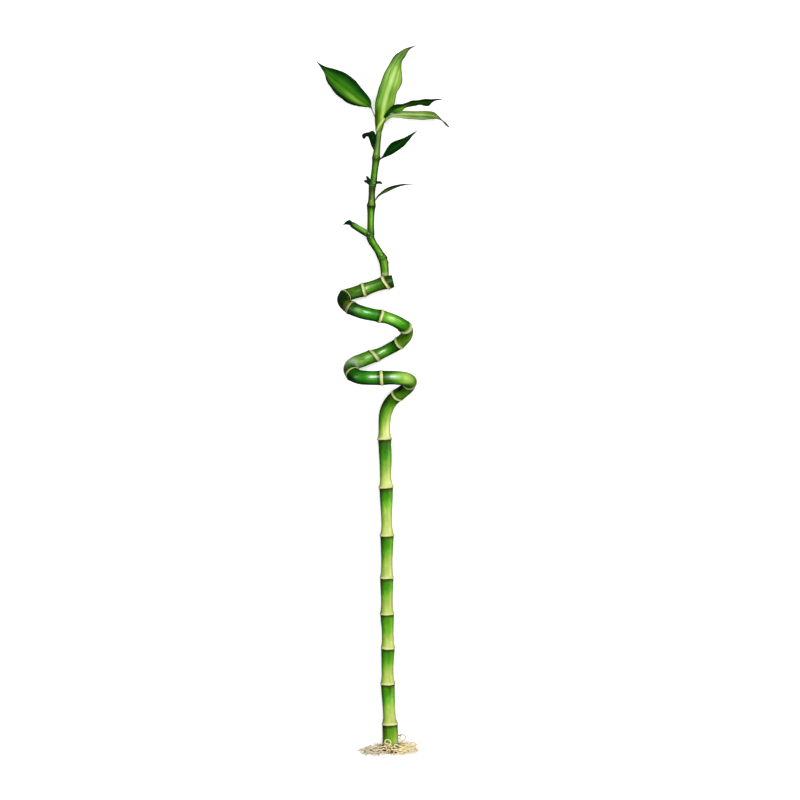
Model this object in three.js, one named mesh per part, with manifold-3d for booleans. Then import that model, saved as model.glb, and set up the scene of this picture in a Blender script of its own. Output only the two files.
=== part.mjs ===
// A spiral lucky bamboo (Dracaena sanderiana), bare rooted, laid down on its back on a flat surface.
// Millimetres, +Z up. The cane lies along Y with its cut top and its leafy shoot towards +Y and its roots at -Y.
// The origin is under the middle of the plant, on the surface.
import * as THREE from 'three';
import { mergeVertices } from 'three/addons/utils/BufferGeometryUtils.js';
import Module from 'manifold-3d';

const wasm = await Module();
wasm.setup();

// ---- driving dimensions (mm) ----
const GAP = 0.3; // clearance kept between two pieces that touch
const CANE_SIDES = 12; // facets round the cane
const SHOOT_SIDES = 10;
const ROOT_SIDES = 5;
const BLADE_ACROSS = 4; // facets across a leaf blade
const RING_ABOVE = 3.2; // how far a node's flare runs up the internode above it
const RING_BELOW = 1.8; // and down the one below it
const CANE_STEP = 6.0; // longest facet along the cane
const ROOT_TIP = 0.28; // radius at a root's tip
const ORIGIN = [-15.67, -1.947, -0.01]; // the plant's middle and underside in the numbers below

// The cane's centre line, from its foot to its cut top: [x, y, z].
const CANE_LINE = [
  [-9.56, -324.19, 7.6], [-8.83, -312.7, 7.6], [-9.2, -299.84, 7.5], [-10.3, -281.47, 7.3], [-11.13, -263.09, 7.2], [-11.5, -246.55, 7.1],
  [-11.13, -229.07, 7.1], [-11.32, -213.44, 7], [-11.78, -197.8, 7], [-12.05, -181.24, 7], [-12.14, -163.76, 7], [-12.1, -144.44, 7],
  [-11.96, -126.03, 7.1], [-12.33, -106.71, 7.1], [-12.51, -92, 7.1], [-12.7, -80.96, 7.1], [-13.34, -68.08, 7.1], [-13.25, -55.2, 7.1],
  [-13.71, -44.16, 7.2], [-14.08, -34.96, 7.07], [-14.4, -25.76, 7.12], [-14.07, -17.48, 7.23], [-12.88, -10.58, 7.45], [-10.39, -4.6, 7.91],
  [-7.08, 0, 8.83], [-2.57, 4.04, 10.7], [2.38, 7.61, 14.25], [6.76, 11.32, 20.84], [8.82, 15.09, 29.06], [8.05, 17.63, 38.37],
  [4.32, 19, 45.59], [-0.9, 19.68, 49.64], [-7.63, 20.02, 51.61], [-14.81, 19.83, 52.09], [-21.99, 19.74, 52.02], [-29.19, 19.85, 50.96],
  [-35.98, 20.51, 48.12], [-40.78, 22.28, 42.62], [-44.04, 25.19, 34.82], [-45.32, 28.3, 26.96], [-44.22, 31.43, 19.87], [-40.7, 34.1, 13.53],
  [-34.91, 36.47, 9.68], [-28.51, 38.9, 7.79], [-22.08, 41.21, 7.1], [-15.64, 43.97, 7.07], [-9.2, 47.27, 7.83], [-3.21, 50.6, 10.26],
  [1.83, 54.22, 15.32], [5.29, 58.02, 22.33], [6.36, 61.96, 30.12], [4.88, 65.27, 38.86], [0.9, 68.25, 46.3], [-4.49, 71.06, 50.2],
  [-11.22, 73.6, 51.95], [-18.39, 75.37, 52.55], [-25.57, 76.71, 52.5], [-32.77, 78.37, 51.57], [-39.56, 80.74, 48.84], [-45.55, 83.89, 42.89],
  [-49.96, 87.59, 33.5], [-51.8, 91.37, 23.2], [-50.57, 94.74, 14.6], [-46.39, 97.1, 9.7], [-40.92, 98.95, 7.8], [-34.5, 101.01, 7.1],
  [-28.06, 103.23, 6.95], [-21.62, 105.43, 6.98], [-15.18, 107.37, 6.98], [-10.49, 108.47, 7], [-6.26, 109.48, 7.05],
];
// The cane's radius between its nodes: [distance along the centre line, radius].
const CANE_RADIUS = [
  [0, 6.99], [14.21, 7.17], [21.58, 6.99], [32.61, 5.61], [44.59, 5.84], [57.54, 6.16], [70.32, 5.34], [81.5, 5.57],
  [91.51, 6.07], [102.58, 5.38], [112.64, 5.47], [121.92, 5.98], [132.94, 5.34], [141.24, 5.34], [149.5, 5.7], [155.92, 5.98],
  [166.96, 5.29], [177.18, 5.24], [186.32, 5.61], [194.66, 5.89], [205.58, 5.06], [211.08, 4.88], [220.38, 5.2], [227.67, 5.66],
  [237.79, 6.07], [248.92, 5.15], [254.4, 5.11], [265.42, 5.66], [278.33, 5.98], [296.74, 5.2], [305.01, 5.57], [312.95, 5.89],
  [320.55, 5.93], [332.36, 5.78], [343.2, 5.86], [365.8, 6.15], [381.34, 6.25], [390.85, 6.24], [405.23, 6.28], [416.34, 6.47],
  [430.39, 6.28], [446.4, 6.2], [462.12, 6.29], [470.84, 6.25], [484.66, 5.24], [494.95, 5.33], [512.03, 5.58], [536.56, 5.79],
  [551.2, 5.48], [560.55, 5.25], [571.67, 5.29], [582.8, 5.88], [596.19, 5.94], [615.37, 5.63], [629.01, 5.63], [643.97, 5.47],
  [656.76, 5.38], [666.54, 5.47], [677, 5.57], [680.95, 5.57],
];
// The nodes (leaf-scar rings): [distance along the centre line, radius at the ring].
const CANE_NODES = [
  [25.5, 7.5], [62.8, 6.95], [95.56, 6.81], [126.62, 6.76], [160.27, 6.67], [198.9, 6.85], [243.35, 7.08], [287.54, 6.9],
  [332.5, 6.38], [358.9, 6.45], [397.3, 7.18], [428.2, 7.04], [477.3, 6.81], [505.1, 6.24], [538.4, 6.42], [566.4, 6.55],
  [596.6, 6.49], [629, 6.59], [651.8, 6.85], [673, 6.72],
];
// The side shoot's stem: [x, y, z, radius].
const SHOOT_LINE = [
  [-13.9, 111.41, 5.5, 3.22], [-13.9, 113.61, 5.6, 3.41], [-13.99, 116.34, 6.1, 3.68], [-14.17, 119.59, 7.1, 3.82], [-14.53, 123.65, 8.3, 3.95],
  [-15.16, 127.27, 9.1, 4], [-16.54, 130.82, 9.6, 3.9], [-18.19, 133.74, 9.9, 3.58], [-20.39, 137.57, 10.3, 3.31], [-23.32, 141.86, 10.6, 3.35],
  [-26.07, 146.15, 11, 3.44], [-27.26, 150.16, 11.3, 3.58], [-26.84, 154.18, 11.5, 3.26], [-26.89, 159.66, 11.8, 3.07], [-26.79, 166.97, 12.2, 3.12],
  [-26.6, 173.36, 12.5, 3.35], [-26.41, 177.19, 12.7, 3.62], [-25.95, 181.57, 13, 3.3], [-25.86, 187.04, 13.3, 2.98], [-25.76, 191.59, 13.6, 2.93],
  [-25.3, 196.33, 13.9, 3.21], [-24.19, 201.6, 14.3, 3.12], [-23.55, 207.05, 14.7, 3.02], [-22.9, 212.49, 15.2, 3.02], [-22.25, 217.48, 15.6, 3.2],
  [-21.88, 220.83, 15.9, 3.48], [-21.6, 224.73, 16.2, 3.11], [-21.14, 229.26, 16.6, 2.88], [-20.59, 234.24, 17, 2.75], [-19.85, 239.66, 17.5, 2.61],
  [-19.3, 244.63, 18, 2.51], [-18.93, 249.16, 18.3, 2.1], [-18.47, 252.78, 18.6, 1.1],
];
// The short side branch on the shoot: [x, y, z, radius].
const STUB_LINE = [
  [-27.35, 150.89, 11.3, 2.57], [-29.83, 152.43, 11.6, 2.89], [-33.03, 154.23, 12, 2.84], [-36.69, 156.38, 12.6, 2.8], [-40.34, 158.72, 13.2, 2.84],
  [-42.9, 160.32, 13.7, 2.8], [-44.73, 161.49, 14, 2.29],
];
const LEFT_BUD_LOW = [
  [-26.21, 197.05, 14, 1.7], [-28.41, 198.95, 14.2, 1.55], [-30.69, 200.19, 14.6, 1.35], [-32.16, 200.63, 14.8, 1.2], [-33.34, 200.88, 15, 0.6],
];
const LEFT_BUD_HIGH = [
  [-26.94, 198.86, 14.2, 1.5], [-28.49, 201.35, 14.9, 1.35], [-29.85, 203.57, 15.5, 1.25], [-30.95, 205.27, 15.9, 0.6],
];
const RIGHT_BUD = [
  [-24.2, 198.33, 14, 1], [-21.44, 199.31, 14.3, 1.25], [-18.87, 199.38, 14.5, 1.3], [-17.23, 198.83, 14.5, 1.1], [-16.04, 198.1, 14.4, 0.5],
];
// The blades: an edge, the midrib and the other edge, each from the base to the tip.
const BLADES = {
  left_leaf: {
    thickness: 0.55,
    edgeA: [
      [-21.39, 256.9, 18.5], [-23.73, 262.04, 19.68], [-25.79, 267.25, 21.01], [-26.53, 272.68, 22.93], [-29.3, 277.48, 24.51], [-33.03, 281.7, 25.66],
      [-36.63, 286.11, 26.31], [-40.29, 290.69, 25.68], [-44.7, 294.63, 24.5], [-49.56, 298.06, 23.11], [-54.94, 301.07, 19.28], [-60.62, 303.43, 15.18],
      [-66.42, 305.49, 10.99], [-71.97, 308.61, 5.87], [-77.08, 312.66, 0.75],
    ],
    midrib: [
      [-21.76, 256.54, 18.5], [-24.08, 261.43, 19.39], [-26.12, 266.4, 20.44], [-30.4, 269.59, 21.81], [-35.24, 272.08, 22.82], [-39.86, 274.98, 23.46],
      [-44.31, 278.14, 24.11], [-48.73, 281.56, 23.48], [-53.11, 285.15, 22.3], [-57.42, 288.84, 21.12], [-61.65, 293.1, 17.63], [-65.71, 297.61, 13.88],
      [-69.62, 302.32, 10.04], [-73.27, 307.45, 5.39], [-77.08, 312.48, 0.75],
    ],
    edgeB: [
      [-22.12, 256.26, 18.5], [-24.69, 261.42, 19.11], [-27.09, 266.56, 19.87], [-32.65, 267.73, 19.64], [-38.47, 268.36, 18.9], [-44.12, 269.97, 17.91],
      [-49.32, 272.61, 17.98], [-54.17, 276.09, 16.78], [-58.57, 280.25, 15.02], [-62.39, 284.8, 14.39], [-65.82, 289.94, 12.18], [-68.14, 295.74, 9.72],
      [-69.85, 301.76, 7.18], [-73.29, 307.14, 3.96], [-77.08, 312.29, 0.75],
    ],
  },
  top_leaf: {
    thickness: 0.55,
    edgeA: [
      [-22.3, 245.44, 18.8], [-22.73, 251.34, 19.34], [-23.06, 257.25, 19.86], [-22.98, 263.15, 20.5], [-22.66, 269, 21.44], [-22.11, 274.82, 22.36],
      [-20.51, 280.46, 23.14], [-18.75, 286.06, 23.92], [-16.85, 291.6, 24.7], [-14.45, 296.97, 25.36], [-11.85, 302.24, 26.01], [-9.1, 307.43, 26.67],
      [-5.71, 312.34, 26.69], [-1.44, 316.52, 26.55], [3.72, 319.61, 25.83], [9.36, 321.9, 24.17], [15.14, 323.76, 22.5],
    ],
    midrib: [
      [-19.53, 245.09, 21.4], [-18.53, 250.54, 21.73], [-17.43, 255.98, 22.07], [-16.41, 261.36, 22.85], [-15.18, 266.65, 23.93], [-13.83, 271.91, 25.03],
      [-12.37, 277.12, 26.19], [-10.73, 282.27, 27.34], [-9.07, 287.41, 28.5], [-7.3, 292.61, 28.97], [-5.32, 297.74, 29.44], [-3.17, 302.8, 29.91],
      [-0.77, 307.92, 29.33], [2.01, 312.88, 28.5], [5.45, 317.5, 27.08], [9.91, 321.18, 24.79], [15.14, 323.58, 22.5],
    ],
    edgeB: [
      [-16.27, 245.44, 18.8], [-14.89, 250.73, 19.24], [-13.11, 255.91, 19.63], [-10.61, 260.79, 20], [-7.68, 265.38, 20.67], [-5.06, 270.11, 21.34],
      [-4.31, 275.47, 22.06], [-2.55, 280.59, 22.78], [-0.05, 285.39, 23.5], [2.19, 290.37, 23.78], [2.22, 295.76, 24.06], [1.17, 301.12, 24.34],
      [1.62, 306.59, 24.33], [3.98, 311.54, 24.45], [6.72, 316.27, 24.78], [10.34, 320.42, 23.79], [15.14, 323.39, 22.5],
    ],
  },
  right_upper_leaf: {
    thickness: 0.55,
    edgeA: [
      [-15.05, 258.21, 22.2], [-12.71, 261.71, 24.66], [-9.92, 264.93, 26.9], [-6.52, 267.55, 28.93], [-2.3, 268.67, 30.44], [2.15, 269.04, 31.64],
      [6.47, 270.02, 32.84], [10.72, 271.52, 32.36], [15.15, 272.42, 31.16], [19.62, 273.11, 29.96], [24.12, 273.7, 28.25], [28.67, 274.4, 24.48],
      [33.23, 275.15, 20.71], [37.76, 275.04, 17.27], [42.16, 274.22, 14],
    ],
    midrib: [
      [-14.42, 257.38, 21.6], [-11.63, 260.53, 23.03], [-8.46, 263.32, 24.23], [-4.66, 265.28, 25.28], [-0.66, 266.86, 26.01], [3.45, 268.21, 26.44],
      [7.64, 269.28, 26.87], [11.9, 270.19, 26.4], [16.19, 271.01, 25.54], [20.54, 271.25, 24.69], [24.85, 272.05, 23.52], [29.13, 273.38, 21.14],
      [33.45, 274.49, 18.76], [37.85, 274.7, 16.38], [42.16, 274.08, 14],
    ],
    edgeB: [
      [-13.78, 256.71, 21.2], [-10.52, 259.55, 21.99], [-6.91, 261.88, 22.54], [-2.52, 262.17, 22.94], [1.51, 263.52, 23.03], [4.95, 266.27, 22.8],
      [9.22, 267.3, 22.57], [13.51, 268.44, 21.8], [17.85, 269.36, 20.8], [22.12, 268.53, 19.8], [26.03, 268.88, 18.8], [29.45, 271.83, 17.81],
      [33.4, 273.91, 16.82], [37.79, 274.59, 15.49], [42.16, 273.94, 14],
    ],
  },
  right_lower_leaf: {
    thickness: 0.55,
    edgeA: [
      [-14.72, 254.63, 18.4], [-11.98, 258.8, 18.02], [-8.01, 261.8, 17.64], [-3.38, 263.69, 16.96], [1.53, 264.55, 16.24], [6.5, 264.78, 15.53],
      [11.49, 264.87, 14.62], [16.48, 264.97, 13.42], [21.47, 265.14, 12.22], [26.48, 265.28, 11.02], [31.33, 264.55, 8.97], [35.21, 261.7, 6.83],
      [38.8, 258.48, 4.7], [42.65, 255.5, 2.73], [45.88, 251.92, 0.75],
    ],
    midrib: [
      [-14.35, 253.75, 18.8], [-11.36, 257.28, 19.37], [-7.41, 259.66, 19.94], [-2.8, 260.54, 19.87], [1.88, 260.94, 19.73], [6.58, 261.01, 19.59],
      [11.27, 260.97, 18.93], [15.98, 260.91, 17.5], [20.69, 260.91, 16.07], [25.4, 260.8, 14.64], [30.1, 260.51, 11.86], [34.61, 259.37, 8.94],
      [38.66, 257.28, 6.04], [42.11, 254.36, 3.39], [45.69, 251.55, 0.75],
    ],
    edgeB: [
      [-13.98, 252.94, 19.4], [-10.74, 255.91, 21.3], [-6.74, 257.68, 23.21], [-2.19, 257.19, 23.94], [2.34, 256.55, 24.54], [6.89, 256.06, 25.14],
      [11.44, 255.73, 24.81], [16.01, 255.64, 23.1], [20.6, 255.81, 21.39], [25.19, 256.23, 19.67], [29.81, 257.14, 15.84], [34.46, 257.89, 11.76],
      [38.63, 256.58, 7.75], [41.69, 253.55, 4.25], [45.51, 251.37, 0.75],
    ],
  },
  mid_right_leaf: {
    thickness: 0.55,
    edgeA: [
      [-18.67, 220.94, 16.5], [-15.97, 223.31, 17.42], [-14.18, 226.44, 18.33], [-12.33, 229.49, 19.55], [-10.23, 232.36, 20.97], [-7.64, 234.79, 22.38],
      [-4.38, 236.34, 23.8], [-0.89, 237.58, 23.19], [2.63, 238.76, 22.58], [5.95, 240.43, 21.97], [9.07, 242.56, 20.83], [12.35, 244.55, 18.92],
      [15.74, 246.32, 17],
    ],
    midrib: [
      [-18.58, 220.34, 16.2], [-15.63, 222.32, 16.74], [-13.02, 224.73, 17.28], [-10.4, 227.1, 18.08], [-7.58, 229.21, 19.06], [-4.58, 231.07, 20.03],
      [-1.54, 232.86, 21], [1.46, 234.86, 20.72], [4.4, 236.96, 20.44], [7.14, 239.32, 20.17], [9.93, 241.68, 19.5], [12.83, 243.97, 18.25],
      [15.83, 246.14, 17],
    ],
    edgeB: [
      [-18.4, 219.73, 15.9], [-15.22, 221.52, 16.15], [-11.8, 222.81, 16.4], [-8.39, 224.11, 16.88], [-5.27, 225.94, 17.52], [-2.19, 227.86, 18.16],
      [0.84, 229.84, 18.8], [3.73, 232.07, 18.8], [6.15, 234.82, 18.8], [8.51, 237.62, 18.8], [10.77, 240.54, 18.5], [13.23, 243.36, 17.75],
      [15.92, 245.95, 17],
    ],
  },
  low_thin_leaf: {
    thickness: 0.5,
    edgeA: [
      [-22.83, 183.16, 13.6], [-20.91, 186.72, 14.52], [-17.94, 189.54, 15.44], [-14.74, 192.13, 15.98], [-11.15, 194.21, 16.14], [-7.27, 195.67, 16.29],
      [-3.24, 196.67, 16.07], [0.85, 197.59, 14.47], [4.99, 198.2, 12.88], [9.15, 198.36, 11.22], [13.32, 198.27, 9.5],
    ],
    midrib: [
      [-22.55, 182.99, 13.4], [-20.47, 186.44, 13.84], [-17.45, 189.14, 14.28], [-14.09, 191.44, 14.43], [-10.47, 193.32, 14.29], [-6.69, 194.87, 14.14],
      [-2.79, 196.1, 14], [1.18, 197.13, 12.88], [5.23, 197.8, 11.75], [9.32, 198.05, 10.62], [13.41, 198.08, 9.5],
    ],
    edgeB: [
      [-22.28, 182.83, 13.2], [-19.93, 186.06, 13.24], [-16.81, 188.54, 13.28], [-13.24, 190.37, 13.06], [-9.68, 192.26, 12.59], [-6.05, 194.01, 12.11],
      [-2.31, 195.44, 12.03], [1.54, 196.63, 11.38], [5.48, 197.42, 10.72], [9.49, 197.76, 10.09], [13.51, 197.9, 9.5],
    ],
  },
  withered_bract: {
    thickness: 0.6,
    edgeA: [
      [-23.97, 228.13, 17.6], [-24.83, 229.97, 17.53], [-25.69, 231.82, 17.45], [-26.53, 233.66, 17.56], [-27.25, 235.48, 18.07], [-27.88, 237.34, 18.59],
      [-28.52, 239.26, 18.62], [-29.58, 241, 18.31], [-31.2, 240.65, 17.56], [-32.12, 238.95, 16.7],
    ],
    midrib: [
      [-23.23, 228.86, 17.6], [-23.68, 231.34, 18.12], [-24.05, 233.84, 18.64], [-24.4, 236.34, 19.11], [-24.89, 238.83, 19.48], [-25.77, 241.2, 19.85],
      [-27.75, 242.8, 19.67], [-30.28, 242.4, 19.11], [-32.57, 241.39, 18.11], [-32.94, 239, 17],
    ],
    edgeB: [
      [-22.32, 229.56, 17.8], [-21.7, 233.12, 18.47], [-21.11, 236.68, 19.13], [-21.56, 240.23, 19.67], [-22.64, 243.73, 19.89], [-24.98, 245.95, 20.11],
      [-28.41, 244.64, 19.83], [-32.06, 244.14, 19.22], [-34.87, 242.25, 18.17], [-33.95, 239, 17],
    ],
  },
  side_stub_leaf: {
    thickness: 0.6,
    edgeA: [
      [-43.46, 163.01, 13.4], [-44.76, 164.35, 13.56], [-46.45, 165.09, 13.58], [-48.17, 164.35, 13.07], [-49.74, 163.31, 12.83], [-51.13, 162.05, 12.32],
      [-52.39, 160.67, 11.8],
    ],
    midrib: [
      [-44.07, 161.36, 14.4], [-45.36, 162.22, 14.62], [-46.79, 162.8, 14.71], [-48.31, 162.5, 14.27], [-49.78, 161.98, 13.63], [-51.16, 161.28, 12.72],
      [-52.49, 160.49, 11.8],
    ],
    edgeB: [
      [-44.74, 159.43, 13.4], [-45.88, 160.08, 13.56], [-47.13, 160.52, 13.58], [-48.46, 160.74, 13.07], [-49.79, 160.8, 12.83], [-51.11, 160.63, 12.32],
      [-52.39, 160.3, 11.8],
    ],
  },
};
// The roots: each a centre line from the foot outwards and the radius where it starts.
const ROOTS = [
  { radius: 0.56, line: [
    [-16.72, -319.14, 7.6], [-18.5, -319.16, 7.59], [-20.24, -319.18, 7.4], [-21.92, -319.51, 7.16], [-23.52, -319.91, 7.66], [-24.88, -318.95, 7.18],
    [-26.11, -318.21, 6.17], [-27.58, -318.89, 5.74], [-28.99, -319.91, 6.01], [-30.47, -319.71, 5.2], [-31.7, -319.77, 4], [-32.94, -320.82, 3.62],
    [-34.32, -321.77, 3.75], [-35.67, -321.46, 2.78], [-36.89, -321.52, 1.99], [-38.32, -322.94, 2.35], [-40.01, -324.49, 2.24],
  ] },
  { radius: 0.55, line: [
    [-16.8, -321.53, 6.56], [-18.51, -321.57, 6.33], [-20.02, -322.34, 6.1], [-21.49, -323, 5.68], [-22.88, -322.07, 5.98], [-24.43, -321.73, 6.17],
    [-25.76, -322.28, 5.27], [-26.99, -322.04, 4.43], [-28.5, -321.6, 4.04], [-29.65, -322.78, 4.13], [-30.64, -324.17, 4.09], [-31.86, -324.32, 3.22],
    [-32.69, -323.23, 1.74], [-34.04, -322.03, 0.78], [-35.63, -322.5, 1.54], [-36.81, -323.57, 1.89], [-38.39, -323.21, 0.6], [-39.96, -323.11, 0.6],
  ] },
  { radius: 0.54, line: [
    [-16.03, -320.24, 4.32], [-17.57, -320.3, 3.62], [-18.96, -321.26, 3.66], [-20.38, -322.06, 4.11], [-21.74, -322.22, 3.24], [-22.92, -323.03, 2.52],
    [-24.06, -324.3, 2.78], [-25.49, -325.1, 3.16], [-26.82, -324.34, 2.58], [-27.85, -323.17, 1.48], [-29.27, -322.45, 1.1], [-30.55, -323.38, 1.98],
    [-31.28, -324.87, 1.83], [-32.35, -325.76, 0.6], [-34.42, -325.76, 0.6], [-35.89, -324.97, 0.6], [-36.73, -324.43, 0.6],
  ] },
  { radius: 0.5, line: [
    [-14.26, -322.45, 1.87], [-15.44, -322.55, 0.63], [-16.8, -323.68, 0.69], [-18.09, -324.91, 0.6], [-19.63, -325.38, 1.24], [-21.29, -325.81, 1.08],
    [-22.78, -326.57, 0.6], [-24.44, -326.97, 0.84], [-26.01, -326.48, 0.81], [-27.51, -325.9, 0.6], [-29.24, -325.98, 0.6], [-30.55, -326.81, 0.94],
    [-32.04, -327.56, 0.95], [-33.56, -326.89, 1.55], [-35.05, -325.34, 2.64],
  ] },
  { radius: 0.5, line: [
    [-16.31, -319.69, 10.16], [-17.95, -319.59, 10.69], [-19.28, -318.42, 10.52], [-20.78, -317.57, 10.24], [-22.54, -317.56, 9.99], [-24.31, -317.61, 10.09],
    [-26.03, -317.9, 9.85], [-27.45, -318.66, 9.11], [-28.68, -319.78, 8.48], [-29.83, -321.08, 8.08], [-30.08, -322.43, 7.16], [-29, -323.55, 6.14],
    [-27.41, -324.29, 6.08], [-25.88, -323.78, 6.94], [-24.46, -322.9, 7.48],
  ] },
  { radius: 0.5, line: [
    [-15.17, -322.26, 12.41], [-16.54, -322.17, 13.45], [-17.91, -321.1, 13.56], [-19.15, -319.89, 13.13], [-20.62, -319.79, 12.28], [-21.87, -321.05, 12.4],
    [-23.26, -321.94, 11.9], [-24.58, -321.19, 10.84], [-25.92, -319.9, 10.81], [-27.39, -320.03, 10.78], [-28.25, -320.99, 9.96], [-29.32, -322.09, 9.34],
    [-30.9, -322.19, 8.94], [-31.89, -321.42, 7.68], [-32.94, -320.53, 6.61],
  ] },
  { radius: 0.48, line: [
    [-16.84, -323.55, 9.16], [-18.53, -323.62, 9.5], [-19.9, -324.66, 9.73], [-21.44, -325.15, 9.22], [-23.09, -325.23, 8.78], [-24.75, -325.72, 8.94],
    [-26.26, -325.45, 8.4], [-27.52, -324.79, 7.64], [-29.03, -324.95, 6.91], [-30.16, -326.09, 6.28], [-31.33, -326.6, 5.11], [-32.46, -325.94, 3.98],
    [-33.73, -324.95, 3.37],
  ] },
  { radius: 0.45, line: [
    [-16.73, -323.73, 5.54], [-18.38, -323.92, 5.05], [-19.02, -325.57, 4.71], [-20.33, -326.22, 4.43], [-21.73, -325.54, 3.51], [-23.44, -325.79, 3.73],
    [-24.85, -326.75, 3.29], [-26.3, -327.17, 2.33], [-27.97, -326.59, 2.65], [-29.47, -326.19, 2.16],
  ] },
  { radius: 0.58, line: [
    [-1.67, -317.66, 7.86], [0.12, -317.64, 7.97], [1.81, -317.27, 8.22], [3.43, -316.6, 7.88], [5.09, -317.16, 8.16], [6.72, -316.85, 7.8],
    [8.04, -316.38, 6.83], [9.38, -317.15, 5.98], [10.69, -318.33, 5.86], [12.4, -318.32, 5.81], [13.72, -318.7, 4.76], [14.6, -319.93, 3.67],
    [15.64, -321.25, 2.85], [17.44, -321.65, 3.06],
  ] },
  { radius: 0.58, line: [
    [-2.02, -319.69, 5.79], [-0.27, -319.74, 5.44], [1.41, -320.08, 5.93], [2.82, -320.74, 6.7], [4.24, -320.9, 6], [5.38, -320.03, 5.19],
    [6.65, -318.87, 5.49], [8.22, -318.95, 5.44], [9.23, -319.97, 4.34], [10.28, -321.13, 3.45], [11.67, -321.65, 3.96], [13.07, -321.42, 3.44],
    [14.17, -321.82, 2.64], [15.44, -323.06, 2.78], [16.61, -324.27, 2.51],
  ] },
  { radius: 0.55, line: [
    [-3.04, -321.34, 3.64], [-1.54, -321.42, 2.81], [-0.15, -322.3, 3.33], [1.43, -322.49, 3.67], [2.81, -323.21, 3.05], [4.34, -323.18, 3.57],
    [5.55, -322.02, 3.17], [6.73, -321.63, 1.96], [7.89, -322.78, 1.55], [8.97, -323.88, 2.38], [10.47, -323.56, 2.1], [11.76, -323.02, 0.93],
    [13.3, -323.41, 1.33], [14.87, -323.32, 1.36], [16.29, -322.88, 0.6], [17.72, -323.7, 0.6],
  ] },
  { radius: 0.5, line: [
    [-4.68, -323, 1.87], [-3.58, -323.05, 0.66], [-2.25, -324.06, 0.66], [-0.88, -325.05, 0.6], [0.63, -325.47, 1.04], [2.28, -325.65, 1.24],
    [3.84, -325.76, 0.78], [5.43, -325.82, 0.71], [7.03, -325.82, 1.22], [8.72, -325.89, 1.55], [10.39, -326.1, 0.84], [12.01, -326.27, 0.67],
    [13.62, -326.14, 1], [15.18, -325.52, 1.35],
  ] },
  { radius: 0.5, line: [
    [-2.65, -319.32, 11.11], [-1.12, -319.26, 11.86], [0.38, -318.41, 11.84], [1.9, -317.62, 11.7], [3.52, -318.02, 11.48], [5.08, -318.6, 11.34],
    [6.83, -318.77, 11.43], [8.49, -319.54, 11.49], [9.95, -320.43, 11.06], [11.36, -320.19, 10.24], [12.77, -319.42, 9.47], [13.09, -318.23, 8.9],
    [11.81, -317.07, 8.8], [10.2, -317.02, 9.15], [8.82, -317.81, 9.82],
  ] },
  { radius: 0.55, line: [
    [-5, -321.53, 13.65], [-3.97, -321.48, 14.94], [-2.53, -320.6, 15.32], [-1.06, -320.71, 14.62], [0.41, -320.57, 14.26], [1.9, -320.44, 13.9],
    [3.06, -321.14, 12.95], [4.59, -321.52, 13.04], [5.89, -320.58, 13.59], [6.98, -320.05, 12.94], [8.13, -320.75, 12.15], [9.33, -321.83, 12.13],
    [10.71, -321.93, 11.13], [11.71, -321.56, 9.8], [13.16, -321.92, 9.56], [14.29, -322.11, 8.51], [15.08, -321.48, 7.14],
  ] },
  { radius: 0.5, line: [
    [-2.3, -323, 9.66], [-0.57, -323.05, 10.04], [0.85, -323.76, 9.2], [2.49, -324.16, 9.15], [3.89, -323.15, 9.13], [5.31, -322.64, 8.22],
    [6.86, -323.24, 8.15], [8.41, -323.76, 8.11], [9.68, -323.6, 6.83], [11.25, -323.84, 6.17], [12.95, -324.2, 6.33], [14.27, -323.81, 5.3],
    [15.64, -323.57, 4.31], [16.96, -324.36, 4.18],
  ] },
  { radius: 0.42, line: [
    [-1.98, -315.46, 10.16], [-0.29, -315.41, 10.67], [1.28, -314.86, 10.09], [2.78, -314.37, 9.3], [4.46, -314.89, 9.07], [5.88, -314.23, 8.26],
    [7.1, -313.97, 7.03], [8.28, -314.86, 6.02], [9.77, -315.69, 5.66], [11.38, -315.25, 5.25], [12.65, -315.79, 4.21], [13.89, -316.52, 3.16],
    [15.44, -315.95, 2.71], [16.96, -315.04, 2.7], [18.5, -315.14, 1.86], [19.75, -314.46, 0.82],
  ] },
  { radius: 0.45, line: [
    [-3.19, -316.74, 2.99], [-1.73, -316.76, 2.07], [-0.18, -316.98, 2.93], [1.5, -317.44, 3.27], [3.13, -316.81, 3.36], [4.6, -315.88, 3.11],
    [5.99, -315.95, 2], [7.39, -316.95, 1.65], [9.01, -317.63, 1.84], [10.47, -316.97, 1.07], [11.96, -316.06, 0.79], [13.55, -316.44, 1.33],
    [14.74, -317.72, 0.93], [16.06, -318.83, 0.6],
  ] },
  { radius: 0.5, line: [
    [-5.49, -318.95, 14.08], [-4.71, -318.86, 15.49], [-4.96, -317.29, 15.78], [-4.94, -315.76, 16.57], [-3.55, -315.44, 16.01], [-2.11, -316.02, 15.43],
    [-0.77, -316.79, 14.81], [0.57, -317.51, 14.14], [1.98, -318.4, 14.41], [3.54, -318.31, 14.06], [4.87, -317.4, 13.62], [6.4, -316.76, 13.67],
    [7.81, -317.08, 12.85], [9.17, -317.84, 12.25],
  ] },
  { radius: 0.5, line: [
    [-11.67, -320.98, 14.71], [-12.17, -320.86, 16.25], [-12.18, -319.14, 16.33], [-12.62, -317.59, 16.08], [-14.11, -317.02, 16.3], [-15.61, -317.33, 15.59],
    [-17.16, -317.65, 15.13], [-18.76, -318.1, 15.29], [-20.2, -318.22, 14.38], [-21.76, -317.71, 14.2], [-23.27, -317.49, 13.68], [-24.34, -318.17, 12.7],
    [-25.56, -319.19, 12.74],
  ] },
  { radius: 0.48, line: [
    [-9.48, -322.81, 15.08], [-9.41, -322.61, 16.71], [-9.36, -321.17, 17.56], [-9.73, -319.85, 17.73], [-11.02, -320.22, 18.19], [-12.34, -321.23, 17.71],
    [-13.54, -322.3, 16.33], [-15.13, -322.2, 15.99], [-16.56, -321.38, 16.17], [-18.11, -321.72, 15.67], [-19.47, -322.72, 15.27], [-21.14, -323.16, 14.87],
    [-22.75, -322.69, 14.15], [-24.25, -322.57, 13.15],
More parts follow.
